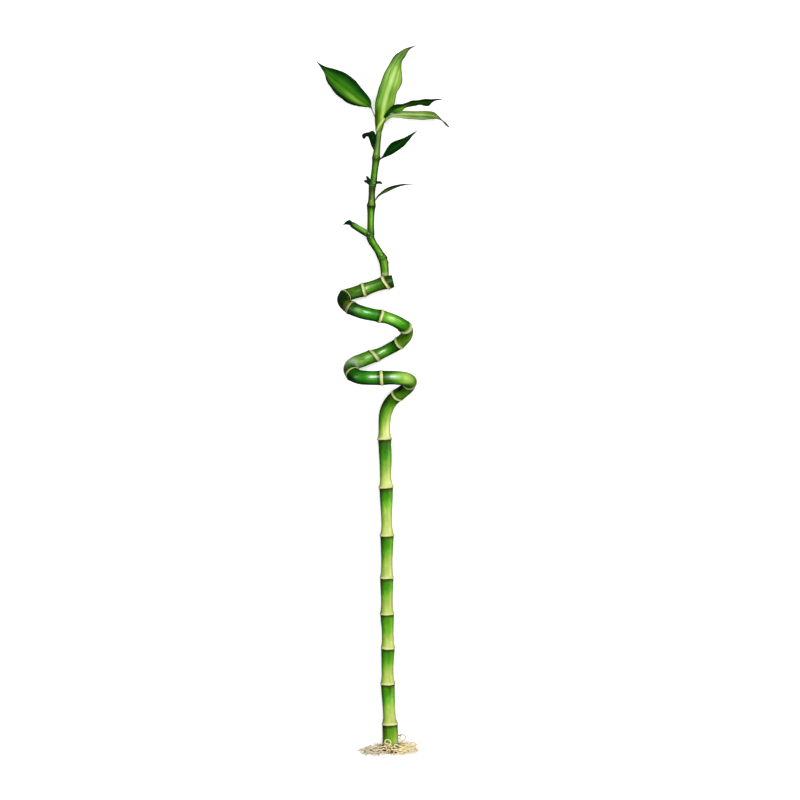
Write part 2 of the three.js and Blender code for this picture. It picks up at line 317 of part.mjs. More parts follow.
  ] },
  { radius: 0.48, line: [
    [-6.47, -323.37, 14.43], [-5.76, -323.19, 16.01], [-5.34, -321.29, 16.34], [-4.06, -321.19, 17.17], [-2.38, -321.74, 17.15], [-1.06, -322.3, 16.27],
    [0.34, -323.07, 15.56], [2.02, -322.67, 15.5], [3.58, -321.89, 15.41], [5.11, -322.25, 14.53], [6.41, -323.05, 13.5], [8.07, -323.3, 12.88],
  ] },
  { radius: 0.56, line: [
    [-16.74, -320.61, 8.64], [-18.43, -320.61, 8.86], [-20.11, -320.52, 8.71], [-21.75, -320.75, 8.65], [-23.31, -321.29, 8.89], [-24.63, -320.93, 7.94],
    [-25.89, -320.28, 7.02], [-27.48, -320.41, 7.04], [-28.74, -321.38, 6.56], [-29.84, -322.04, 5.45], [-31.3, -322.04, 4.86], [-32.94, -322.15, 5.24],
    [-34.16, -322.96, 4.51], [-35.31, -323.61, 3.4], [-36.91, -323.78, 3.5], [-38.29, -323.82, 3.61],
  ] },
  { radius: 0.54, line: [
    [-16.28, -318.03, 5.29], [-17.97, -318.12, 4.8], [-19.38, -319.19, 4.96], [-21.03, -319.75, 4.59], [-22.44, -320.71, 4.84], [-23.85, -321.66, 4.49],
    [-25.13, -321.38, 3.4], [-26.67, -321, 2.58], [-28.35, -321.59, 2.63], [-29.89, -321.45, 2.11], [-31.24, -320.81, 1.5], [-32.72, -321.51, 2.25],
    [-33.94, -322.99, 2.69], [-35.07, -323.82, 0.6],
  ] },
  { radius: 0.54, line: [
    [-15.86, -321.34, 11.34], [-17.43, -321.39, 12.13], [-19.17, -321.78, 12.05], [-20.76, -322.14, 11.35], [-22.21, -322.96, 10.76], [-23.84, -323.66, 10.91],
    [-25.49, -323.45, 10.41], [-26.82, -322.98, 9.28], [-28.42, -323.01, 8.55], [-30.07, -323.72, 8.44], [-31.44, -324.14, 7.55], [-32.76, -324.21, 6.4],
  ] },
  { radius: 0.54, line: [
    [-15.38, -323, 2.99], [-16.84, -323.04, 2.01], [-18.51, -323.53, 2.37], [-20.13, -324.16, 2.67], [-21.69, -324.05, 1.72], [-23.3, -323.88, 0.86],
    [-24.94, -324.28, 0.86], [-26.78, -324.55, 0.83], [-28.6, -324.23, 0.6], [-30.33, -323.83, 0.6], [-32.1, -324.11, 0.6], [-33.54, -324.94, 1.74],
  ] },
  { radius: 0.56, line: [
    [-1.93, -320.61, 8.64], [-0.24, -320.64, 8.84], [1.35, -321.11, 8.49], [2.59, -321.87, 7.6], [4.1, -321.89, 7.45], [5.46, -320.88, 7.72],
    [6.85, -320.65, 6.94], [8.02, -321.41, 5.97], [9.42, -322.28, 5.88], [11.05, -322.14, 6.01], [12.29, -322.53, 5.01], [13.51, -322.95, 3.9],
    [14.9, -322.18, 4.15], [16.25, -321.11, 4.33],
  ] },
  { radius: 0.54, line: [
    [-2.26, -318.4, 4.8], [-0.57, -318.44, 4.24], [1.1, -319.02, 4.53], [2.67, -319.15, 5.3], [4.01, -319.12, 4.07], [5.49, -319.92, 3.71],
    [6.97, -320.86, 3.89], [8.25, -320.8, 2.75], [9.67, -319.89, 2.52], [11.25, -319.29, 2.85], [12.52, -319.87, 1.62], [13.78, -320.96, 1.05],
    [15.28, -321.73, 1.43],
  ] },
  { radius: 0.54, line: [
    [-3.61, -320.61, 12.41], [-2.24, -320.54, 13.43], [-0.65, -319.83, 13.13], [1.03, -319.58, 12.92], [2.5, -319.5, 12.11], [4.16, -319.74, 12.49],
    [5.64, -320.14, 11.73], [6.95, -320.24, 10.24], [8.65, -319.88, 10.03], [10.08, -319.59, 9.29], [11.35, -319.84, 8.29], [12.9, -320.86, 8.42],
  ] },
  { radius: 0.52, line: [
    [-3.35, -323.92, 3.42], [-1.83, -323.95, 2.49], [-0.09, -324.05, 2.34], [1.62, -324.52, 2.16], [3.32, -324.48, 2.28], [4.73, -323.54, 1.87],
    [6.21, -323.61, 0.96], [7.58, -324.47, 0.6], [9.25, -324.73, 0.6], [10.89, -324.49, 0.84], [12.55, -324.86, 0.6], [14.22, -324.57, 0.6],
  ] },
  { radius: 0.58, line: [
    [-10.73, -322.08, 14.97], [-10.93, -322.02, 16.6], [-11.43, -322.48, 17.71], [-13.11, -323.1, 17.79], [-14.58, -323.71, 16.74], [-16.11, -324.08, 16.01],
    [-17.62, -323.71, 15.26], [-18.86, -323.26, 13.95], [-20.49, -323.05, 13.28],
  ] },
  { radius: 0.56, line: [
    [-8.54, -320.42, 15.04], [-8.34, -320.28, 16.69], [-7.7, -319.06, 17.97], [-6.34, -319.86, 17.8], [-4.73, -319.91, 17.66], [-3.15, -319.35, 17.33],
    [-1.73, -319.79, 16.43], [-0.43, -320.92, 16.23], [1.14, -321.25, 15.91], [2.62, -320.74, 15.08], [4.32, -320.6, 14.43],
  ] },
  { radius: 0.52, line: [
    [-7.97, -323.64, 14.92], [-7.48, -323.52, 16.53], [-5.86, -323.19, 17.55], [-4.16, -323.75, 16.87], [-2.46, -324.04, 16.09], [-0.93, -324.09, 15.08],
    [0.67, -323.9, 14.2], [2.4, -324.11, 13.93], [3.85, -324.88, 13.38],
  ] },
  { radius: 0.54, line: [
    [-13.03, -319.87, 14.08], [-13.87, -319.8, 15.55], [-15.01, -319.27, 16.05], [-16.54, -319.92, 15.66], [-18.17, -320.15, 15.41], [-19.56, -320.22, 14.57],
    [-20.97, -320.86, 14.03], [-22.58, -321.31, 13.89], [-23.88, -320.79, 13.08], [-24.93, -320.3, 12.13],
  ] },
  { radius: 0.5, line: [
    [-10, -318.77, 15.04], [-10.17, -318.82, 16.49], [-9.86, -317.56, 16.08], [-8.85, -317.58, 16.36], [-7.65, -317.92, 17.13], [-6.22, -317.37, 17.45],
    [-4.64, -317.49, 17.28], [-3.43, -318.16, 16.49], [-2.21, -318.55, 15.6],
  ] },
  { radius: 0.48, line: [
    [-1.38, -308.33, 8.4], [-0.09, -308.18, 8.87], [1.13, -307.71, 9.3], [2.42, -307.51, 9.72], [3.68, -307.89, 10.09], [4.64, -308.82, 10.38],
    [5.05, -310.09, 10.62], [4.57, -311.35, 10.86], [3.54, -312.21, 11.11], [2.22, -312.47, 11.34], [0.97, -311.97, 11.53], [0.09, -310.92, 11.59],
    [-0.13, -309.59, 11.42], [0.92, -308.78, 11.2],
  ] },
  { radius: 0.48, line: [
    [-7.33, -317.69, 15.4], [-7.44, -316.69, 16.22], [-8.3, -315.76, 16.5], [-9.43, -315.09, 16.62], [-10.73, -314.92, 16.64], [-12.01, -314.63, 16.58],
    [-13.2, -314.09, 16.45], [-13.86, -313.03, 16.42], [-13.58, -311.77, 16.59], [-12.58, -311, 16.9], [-11.36, -310.69, 17.25], [-10.11, -310.91, 17.58],
    [-9.04, -311.6, 17.89], [-8.4, -312.71, 18.13], [-8.42, -313.99, 18.35], [-9.03, -315.13, 18.51], [-10.09, -315.9, 18.61], [-11.32, -316.35, 18.59],
    [-12.62, -316.38, 18.38], [-13.78, -315.92, 18.04], [-14.64, -315.02, 17.6],
  ] },
];

// ---- shapes ----

const vec = ([x, y, z]) => new THREE.Vector3(x, y, z);

// The curve's place and its carried-along normal at any distance along it.
function runner(points) {
  const curve = new THREE.CatmullRomCurve3(points.map(vec), false, 'centripetal');
  curve.arcLengthDivisions = 6000;
  const count = Math.max(40, Math.ceil(curve.getLength() / 0.5));
  const at = curve.getSpacedPoints(count);
  const tangents = at.map((_, i) => at[Math.min(i + 1, count)].clone().sub(at[Math.max(i - 1, 0)]).normalize());
  const normals = [new THREE.Vector3(0, 0, 1)];
  if (Math.abs(tangents[0].z) > 0.9) normals[0].set(1, 0, 0);
  for (let i = 0; i <= count; i++) {
    const n = (normals[i] ?? normals[i - 1].clone());
    normals[i] = n.sub(tangents[i].clone().multiplyScalar(n.dot(tangents[i]))).normalize();
  }
  const length = curve.getLength();
  return {
    length,
    place(s, across, up) {
      const f = THREE.MathUtils.clamp(s / length, 0, 1) * count;
      const i = Math.min(Math.floor(f), count - 1);
      const w = f - i;
      const p = at[i].clone().lerp(at[i + 1], w);
      const t = tangents[i].clone().lerp(tangents[i + 1], w).normalize();
      const n = normals[i].clone().lerp(normals[i + 1], w);
      n.sub(t.clone().multiplyScalar(n.dot(t))).normalize();
      const b = n.clone().cross(t);
      return p.addScaledVector(n, across).addScaledVector(b, up);
    },
  };
}

// A turned profile [radius, distance] bent along a curve: a closed solid when it starts and ends on the axis.
function bentLathe(profile, line, sides) {
  const g = new THREE.LatheGeometry(profile.map(([r, s]) => new THREE.Vector2(r, s)), sides);
  const pos = g.getAttribute('position');
  for (let i = 0; i < pos.count; i++) {
    const p = line.place(pos.getY(i), pos.getX(i), pos.getZ(i));
    pos.setXYZ(i, p.x, p.y, p.z);
  }
  return g;
}

const lerpTable = (table, s) => {
  if (s <= table[0][0]) return table[0][1];
  for (let i = 1; i < table.length; i++) {
    const [s0, r0] = table[i - 1];
    const [s1, r1] = table[i];
    if (s <= s1) return r0 + ((r1 - r0) * (s - s0)) / (s1 - s0);
  }
  return table[table.length - 1][1];
};

// The cane: slim between its nodes and flared into a thin lip at each of them.
function caneProfile(length, grow = 0, from = 0, to = length) {
  const radius = (s) => {
    let r = lerpTable(CANE_RADIUS, s);
    for (const [at, ring] of CANE_NODES) {
      const d = s - at;
      const lift = Math.max(0, ring - lerpTable(CANE_RADIUS, at));
      r = Math.max(r, lerpTable(CANE_RADIUS, s) + lift * Math.exp(-Math.abs(d) / (d > 0 ? RING_ABOVE : RING_BELOW)));
    }
    return r + grow;
  };
  const stops = new Set([from, to]);
  for (const [at] of CANE_NODES) for (const d of [-3.2, -1.1, 0, 1.6, 5.2]) if (at + d > from + 1 && at + d < to - 1) stops.add(at + d);
  const sorted = [...stops].sort((p, q) => p - q);
  const fine = [];
  sorted.forEach((s, i) => {
    if (i) {
      const gap = s - sorted[i - 1];
      const pieces = Math.ceil(gap / CANE_STEP);
      for (let k = 1; k < pieces; k++) fine.push(sorted[i - 1] + (gap * k) / pieces);
    }
    fine.push(s);
  });
  return [[0, from], ...fine.map((s) => [radius(s), s]), [0, to]];
}

// A stem given as [x, y, z, radius] points: the radius follows the same stations.
function taper(points, sides, grow = 0) {
  const line = runner(points);
  const steps = [0];
  for (let i = 1; i < points.length; i++) steps.push(steps[i - 1] + vec(points[i]).distanceTo(vec(points[i - 1])));
  const k = line.length / steps[steps.length - 1];
  const profile = points.map((p, i) => [p[3] + grow, steps[i] * k]);
  return bentLathe([[0, 0], ...profile, [0, line.length]], line, sides);
}

// A leaf: a thin closed blade between its two edges, curved across through its midrib.
function blade({ edgeA, midrib, edgeB, thickness }, grow = 0) {
  const n = midrib.length;
  const g = new THREE.BoxGeometry(1, 1, 1, BLADE_ACROSS, n - 1, 1);
  const pos = g.getAttribute('position');
  const mid = (i, u) => {
    const [a, m, b] = [vec(edgeA[i]), vec(midrib[i]), vec(edgeB[i])];
    return m.clone().addScaledVector(b.clone().sub(a), u / 2).addScaledVector(a.add(b).addScaledVector(m, -2), (u * u) / 2);
  };
  for (let k = 0; k < pos.count; k++) {
    const u = pos.getX(k) * 2;
    const i = Math.round((pos.getY(k) + 0.5) * (n - 1));
    const across = mid(i, 1).sub(mid(i, -1));
    const along = mid(Math.min(i + 1, n - 1), u).sub(mid(Math.max(i - 1, 0), u));
    const slope = mid(i, Math.min(u + 0.2, 1)).sub(mid(i, Math.max(u - 0.2, -1)));
    if (slope.length() < 0.05) slope.copy(across);
    const normal = slope.cross(along).normalize();
    const half = (thickness / 2) * (Math.abs(u) > 0.99 ? 0.7 : 1) + grow;
    const p = mid(i, u).addScaledVector(normal, Math.sign(pos.getZ(k)) * half);
    pos.setXYZ(k, p.x, p.y, p.z);
  }
  return g;
}

// ---- joining and cutting ----

function solid(geometry) {
  let g = geometry.clone();
  g.deleteAttribute('normal');
  g.deleteAttribute('uv');
  g = mergeVertices(g, 1e-4);
  const index = g.index.array;
  const keep = [];
  for (let i = 0; i < index.length; i += 3) {
    const [a, b, c] = [index[i], index[i + 1], index[i + 2]];
    if (a !== b && b !== c && c !== a) keep.push(a, b, c);
  }
  return new wasm.Manifold(new wasm.Mesh({ numProp: 3, vertProperties: g.getAttribute('position').array, triVerts: new Uint32Array(keep) }));
}

function toGeometry(manifold) {
  const { vertProperties, triVerts } = manifold.getMesh();
  const g = new THREE.BufferGeometry();
  g.setAttribute('position', new THREE.BufferAttribute(new Float32Array(vertProperties), 3));
  g.setIndex(new THREE.BufferAttribute(new Uint32Array(triVerts), 1));
  g.computeVertexNormals();
  return g;
}

const largest = (manifold) => manifold.decompose().sort((p, q) => q.volume() - p.volume())[0];

// ---- materials ----

const finish = (color, roughness) => new THREE.MeshStandardMaterial({ color, roughness, metalness: 0 });
const caneGreen = finish(0x6f9a2c, 0.35);
const stemGreen = finish(0x5f8f2a, 0.4);
const darkLeaf = finish(0x1c4a14, 0.4);
const paleLeaf = finish(0x86ad52, 0.45);
const thinLeaf = finish(0x55694a, 0.5);
const dried = finish(0x14241a, 0.7);
const rootTan = finish(0xd8bd8a, 0.7);

const plant = new THREE.Group();
plant.position.set(-ORIGIN[0], -ORIGIN[1], -ORIGIN[2]);

function add(name, geometry, material) {
  const mesh = new THREE.Mesh(geometry, material);
  mesh.name = name;
  plant.add(mesh);
}

// ---- the cane ----

const caneLine = runner(CANE_LINE);
const caneLength = caneLine.length;
add('cane', bentLathe(caneProfile(caneLength), caneLine, CANE_SIDES), caneGreen);

// ---- the shoot, sitting on the cane's side just below its cut top ----

const caneTop = solid(bentLathe(caneProfile(caneLength, GAP, caneLength - 40, caneLength - 0.01), caneLine, 24));
const shoot = largest(solid(taper(SHOOT_LINE, SHOOT_SIDES)).subtract(caneTop));
add('shoot_stem', toGeometry(shoot), stemGreen);
const shootFat = solid(taper(SHOOT_LINE, 16, GAP + 0.05));

const stubRaw = solid(taper(STUB_LINE, 8));
add('side_stub', toGeometry(largest(stubRaw.subtract(shootFat))), stemGreen);
const stubFat = solid(taper(STUB_LINE, 12, GAP));

const lowBud = solid(taper(LEFT_BUD_LOW, 6)).add(solid(taper(LEFT_BUD_HIGH, 6)));
add('left_bud', toGeometry(largest(lowBud.subtract(shootFat))), dried);
add('right_bud', toGeometry(largest(solid(taper(RIGHT_BUD, 6)).subtract(shootFat))), dried);

// ---- the leaves, each clear of the stem and of the leaves before it ----

const leafFinish = {
  left_leaf: darkLeaf, top_leaf: paleLeaf, right_upper_leaf: darkLeaf, right_lower_leaf: paleLeaf,
  mid_right_leaf: darkLeaf, low_thin_leaf: thinLeaf, withered_bract: dried, side_stub_leaf: dried,
};
const cutters = [shootFat, stubFat];
for (const [name, shape] of Object.entries(BLADES)) {
  let leaf = solid(blade(shape));
  for (const cutter of cutters) leaf = leaf.subtract(cutter);
  add(name, toGeometry(largest(leaf)), leafFinish[name]);
  cutters.push(solid(blade(shape, GAP)));
}

// ---- the roots ----

ROOTS.forEach(({ radius, line }, k) => {
  const run = runner(line);
  const stops = line.length;
  const profile = [[0, 0]];
  for (let i = 0; i < stops; i++) {
    const f = i / (stops - 1);
    profile.push([THREE.MathUtils.lerp(radius, ROOT_TIP, f * f), f * run.length]);
  }
  profile.push([0, run.length]);
  add(`root_${String(k + 1).padStart(2, '0')}`, bentLathe(profile, run, ROOT_SIDES), rootTan);
});

export default plant;
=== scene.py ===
# A spiral lucky bamboo with bare roots, laid on its back on a pale surface and seen from straight above.
import math

import bpy
import numpy as np
from mathutils import Matrix, Vector


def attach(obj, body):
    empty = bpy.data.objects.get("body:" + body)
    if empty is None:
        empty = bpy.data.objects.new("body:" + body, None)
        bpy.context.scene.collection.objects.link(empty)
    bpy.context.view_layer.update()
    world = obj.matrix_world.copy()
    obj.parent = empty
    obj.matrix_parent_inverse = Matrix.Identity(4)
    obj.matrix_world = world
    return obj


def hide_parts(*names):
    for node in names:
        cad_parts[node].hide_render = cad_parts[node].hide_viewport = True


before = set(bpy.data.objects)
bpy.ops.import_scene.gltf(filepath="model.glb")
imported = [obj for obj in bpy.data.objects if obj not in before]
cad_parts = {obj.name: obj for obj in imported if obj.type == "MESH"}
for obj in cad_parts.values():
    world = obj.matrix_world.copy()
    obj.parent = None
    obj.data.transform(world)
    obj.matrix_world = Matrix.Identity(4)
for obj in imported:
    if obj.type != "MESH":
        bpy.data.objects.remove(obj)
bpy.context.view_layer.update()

ORIGIN = np.array([-15.67, -1.947, -0.01])  # the plant's middle and underside in the numbers below, mm
EYE = 1847.0  # height of the eye above the surface, mm

# the cane's middle line, mm, from the foot to the cut top
CANE_LINE = [
    (-9.56, -324.19, 7.6), (-8.83, -312.7, 7.6), (-9.2, -299.84, 7.5), (-10.3, -281.47, 7.3), (-11.13, -263.09, 7.2), (-11.5, -246.55, 7.1),
    (-11.13, -229.07, 7.1), (-11.32, -213.44, 7), (-11.78, -197.8, 7), (-12.05, -181.24, 7), (-12.14, -163.76, 7), (-12.1, -144.44, 7),
    (-11.96, -126.03, 7.1), (-12.33, -106.71, 7.1), (-12.51, -92, 7.1), (-12.7, -80.96, 7.1), (-13.34, -68.08, 7.1), (-13.25, -55.2, 7.1),
    (-13.71, -44.16, 7.2), (-14.08, -34.96, 7.07), (-14.4, -25.76, 7.12), (-14.07, -17.48, 7.23), (-12.88, -10.58, 7.45), (-10.39, -4.6, 7.91),
    (-7.08, 0, 8.83), (-2.57, 4.04, 10.7), (2.38, 7.61, 14.25), (6.76, 11.32, 20.84), (8.82, 15.09, 29.06), (8.05, 17.63, 38.37),
    (4.32, 19, 45.59), (-0.9, 19.68, 49.64), (-7.63, 20.02, 51.61), (-14.81, 19.83, 52.09), (-21.99, 19.74, 52.02), (-29.19, 19.85, 50.96),
    (-35.98, 20.51, 48.12), (-40.78, 22.28, 42.62), (-44.04, 25.19, 34.82), (-45.32, 28.3, 26.96), (-44.22, 31.43, 19.87), (-40.7, 34.1, 13.53),
    (-34.91, 36.47, 9.68), (-28.51, 38.9, 7.79), (-22.08, 41.21, 7.1), (-15.64, 43.97, 7.07), (-9.2, 47.27, 7.83), (-3.21, 50.6, 10.26),
    (1.83, 54.22, 15.32), (5.29, 58.02, 22.33), (6.36, 61.96, 30.12), (4.88, 65.27, 38.86), (0.9, 68.25, 46.3), (-4.49, 71.06, 50.2),
    (-11.22, 73.6, 51.95), (-18.39, 75.37, 52.55), (-25.57, 76.71, 52.5), (-32.77, 78.37, 51.57), (-39.56, 80.74, 48.84), (-45.55, 83.89, 42.89),
    (-49.96, 87.59, 33.5), (-51.8, 91.37, 23.2), (-50.57, 94.74, 14.6), (-46.39, 97.1, 9.7), (-40.92, 98.95, 7.8), (-34.5, 101.01, 7.1),
    (-28.06, 103.23, 6.95), (-21.62, 105.43, 6.98), (-15.18, 107.37, 6.98), (-10.49, 108.47, 7), (-6.26, 109.48, 7.05),
]

CANE_NODES = [  # distance along, ring radius
    (25.5, 7.5), (62.8, 6.95), (95.56, 6.81), (126.62, 6.76), (160.27, 6.67), (198.9, 6.85), (243.35, 7.08), (287.54, 6.9),
    (332.5, 6.38), (358.9, 6.45), (397.3, 7.18), (428.2, 7.04), (477.3, 6.81), (505.1, 6.24), (538.4, 6.42), (566.4, 6.55),
    (596.6, 6.49), (629, 6.59), (651.8, 6.85), (673, 6.72),
]

CANE_TILT = [  # how each ring leans, mm along the cane for each way out from its middle
    (0, 0, 0), (0, 0, 0), (0, 0, 0), (0, 0, 0), (0, 0, 0), (0, 0, 0), (0, 0, 0), (0, 0, 0),
    (1.1, 0.25, -2.2), (1.33, 0.99, -0.38), (0, 0, 0), (-0.29, -1.27, -0.32), (0.84, -2.25, 0.6), (-0.94, 0.09, 0.96), (-1.6, -0.11, -0.57), (-0.19, -0.57, -1.2),
    (0.9, -1.7, -1.6), (-2, 1, -0.6), (-0.06, -0.02, -1.2), (0.42, -1.75, -1.2),
]

CANE_RADIUS = [  # distance along, radius between the rings
    (0, 6.99), (14.21, 7.17), (21.58, 6.99), (32.61, 5.61), (44.59, 5.84), (57.54, 6.16), (70.32, 5.34), (81.5, 5.57),
    (91.51, 6.07), (102.58, 5.38), (112.64, 5.47), (121.92, 5.98), (132.94, 5.34), (141.24, 5.34), (149.5, 5.7), (155.92, 5.98),
    (166.96, 5.29), (177.18, 5.24), (186.32, 5.61), (194.66, 5.89), (205.58, 5.06), (211.08, 4.88), (220.38, 5.2), (227.67, 5.66),
    (237.79, 6.07), (248.92, 5.15), (254.4, 5.11), (265.42, 5.66), (278.33, 5.98), (296.74, 5.2), (305.01, 5.57), (312.95, 5.89),
    (320.55, 5.93), (332.36, 5.78), (343.2, 5.86), (365.8, 6.15), (381.34, 6.25), (390.85, 6.24), (405.23, 6.28), (416.34, 6.47),
    (430.39, 6.28), (446.4, 6.2), (462.12, 6.29), (470.84, 6.25), (484.66, 5.24), (494.95, 5.33), (512.03, 5.58), (536.56, 5.79),
    (551.2, 5.48), (560.55, 5.25), (571.67, 5.29), (582.8, 5.88), (596.19, 5.94), (615.37, 5.63), (629.01, 5.63), (643.97, 5.47),
    (656.76, 5.38), (666.54, 5.47), (677, 5.57), (680.95, 5.57),
]

SHOOT_LINE = [  # x, y, z, radius
    (-13.9, 111.41, 5.5, 3.22), (-13.9, 113.61, 5.6, 3.41), (-13.99, 116.34, 6.1, 3.68), (-14.17, 119.59, 7.1, 3.82), (-14.53, 123.65, 8.3, 3.95),
    (-15.16, 127.27, 9.1, 4), (-16.54, 130.82, 9.6, 3.9), (-18.19, 133.74, 9.9, 3.58), (-20.39, 137.57, 10.3, 3.31), (-23.32, 141.86, 10.6, 3.35),
    (-26.07, 146.15, 11, 3.44), (-27.26, 150.16, 11.3, 3.58), (-26.84, 154.18, 11.5, 3.26), (-26.89, 159.66, 11.8, 3.07), (-26.79, 166.97, 12.2, 3.12),
    (-26.6, 173.36, 12.5, 3.35), (-26.41, 177.19, 12.7, 3.62), (-25.95, 181.57, 13, 3.3), (-25.86, 187.04, 13.3, 2.98), (-25.76, 191.59, 13.6, 2.93),
    (-25.3, 196.33, 13.9, 3.21), (-24.19, 201.6, 14.3, 3.12), (-23.55, 207.05, 14.7, 3.02), (-22.9, 212.49, 15.2, 3.02), (-22.25, 217.48, 15.6, 3.2),
    (-21.88, 220.83, 15.9, 3.48), (-21.6, 224.73, 16.2, 3.11), (-21.14, 229.26, 16.6, 2.88), (-20.59, 234.24, 17, 2.75), (-19.85, 239.66, 17.5, 2.61),
    (-19.3, 244.63, 18, 2.51), (-18.93, 249.16, 18.3, 2.1), (-18.47, 252.78, 18.6, 1.1),
]

SHOOT_NODES = [
    (-16.33, 130.47, 12), (-27.62, 150.19, 12), (-26.52, 177.26, 12), (-25.41, 196.34, 12), (-22.02, 221.12, 12),
]

STUB_LINE = [
    (-27.35, 150.89, 11.3, 2.57), (-29.83, 152.43, 11.6, 2.89), (-33.03, 154.23, 12, 2.84), (-36.69, 156.38, 12.6, 2.8), (-40.34, 158.72, 13.2, 2.84),
    (-42.9, 160.32, 13.7, 2.8), (-44.73, 161.49, 14, 2.29),
]

LEFT_BUD_LOW = [
    (-26.21, 197.05, 14, 1.7), (-28.41, 198.95, 14.2, 1.55), (-30.69, 200.19, 14.6, 1.35), (-32.16, 200.63, 14.8, 1.2), (-33.34, 200.88, 15, 0.6),
]

LEFT_BUD_HIGH = [
    (-26.94, 198.86, 14.2, 1.5), (-28.49, 201.35, 14.9, 1.35), (-29.85, 203.57, 15.5, 1.25), (-30.95, 205.27, 15.9, 0.6),
]

RIGHT_BUD = [
    (-24.2, 198.33, 14, 1), (-21.44, 199.31, 14.3, 1.25), (-18.87, 199.38, 14.5, 1.3), (-17.23, 198.83, 14.5, 1.1), (-16.04, 198.1, 14.4, 0.5),
]

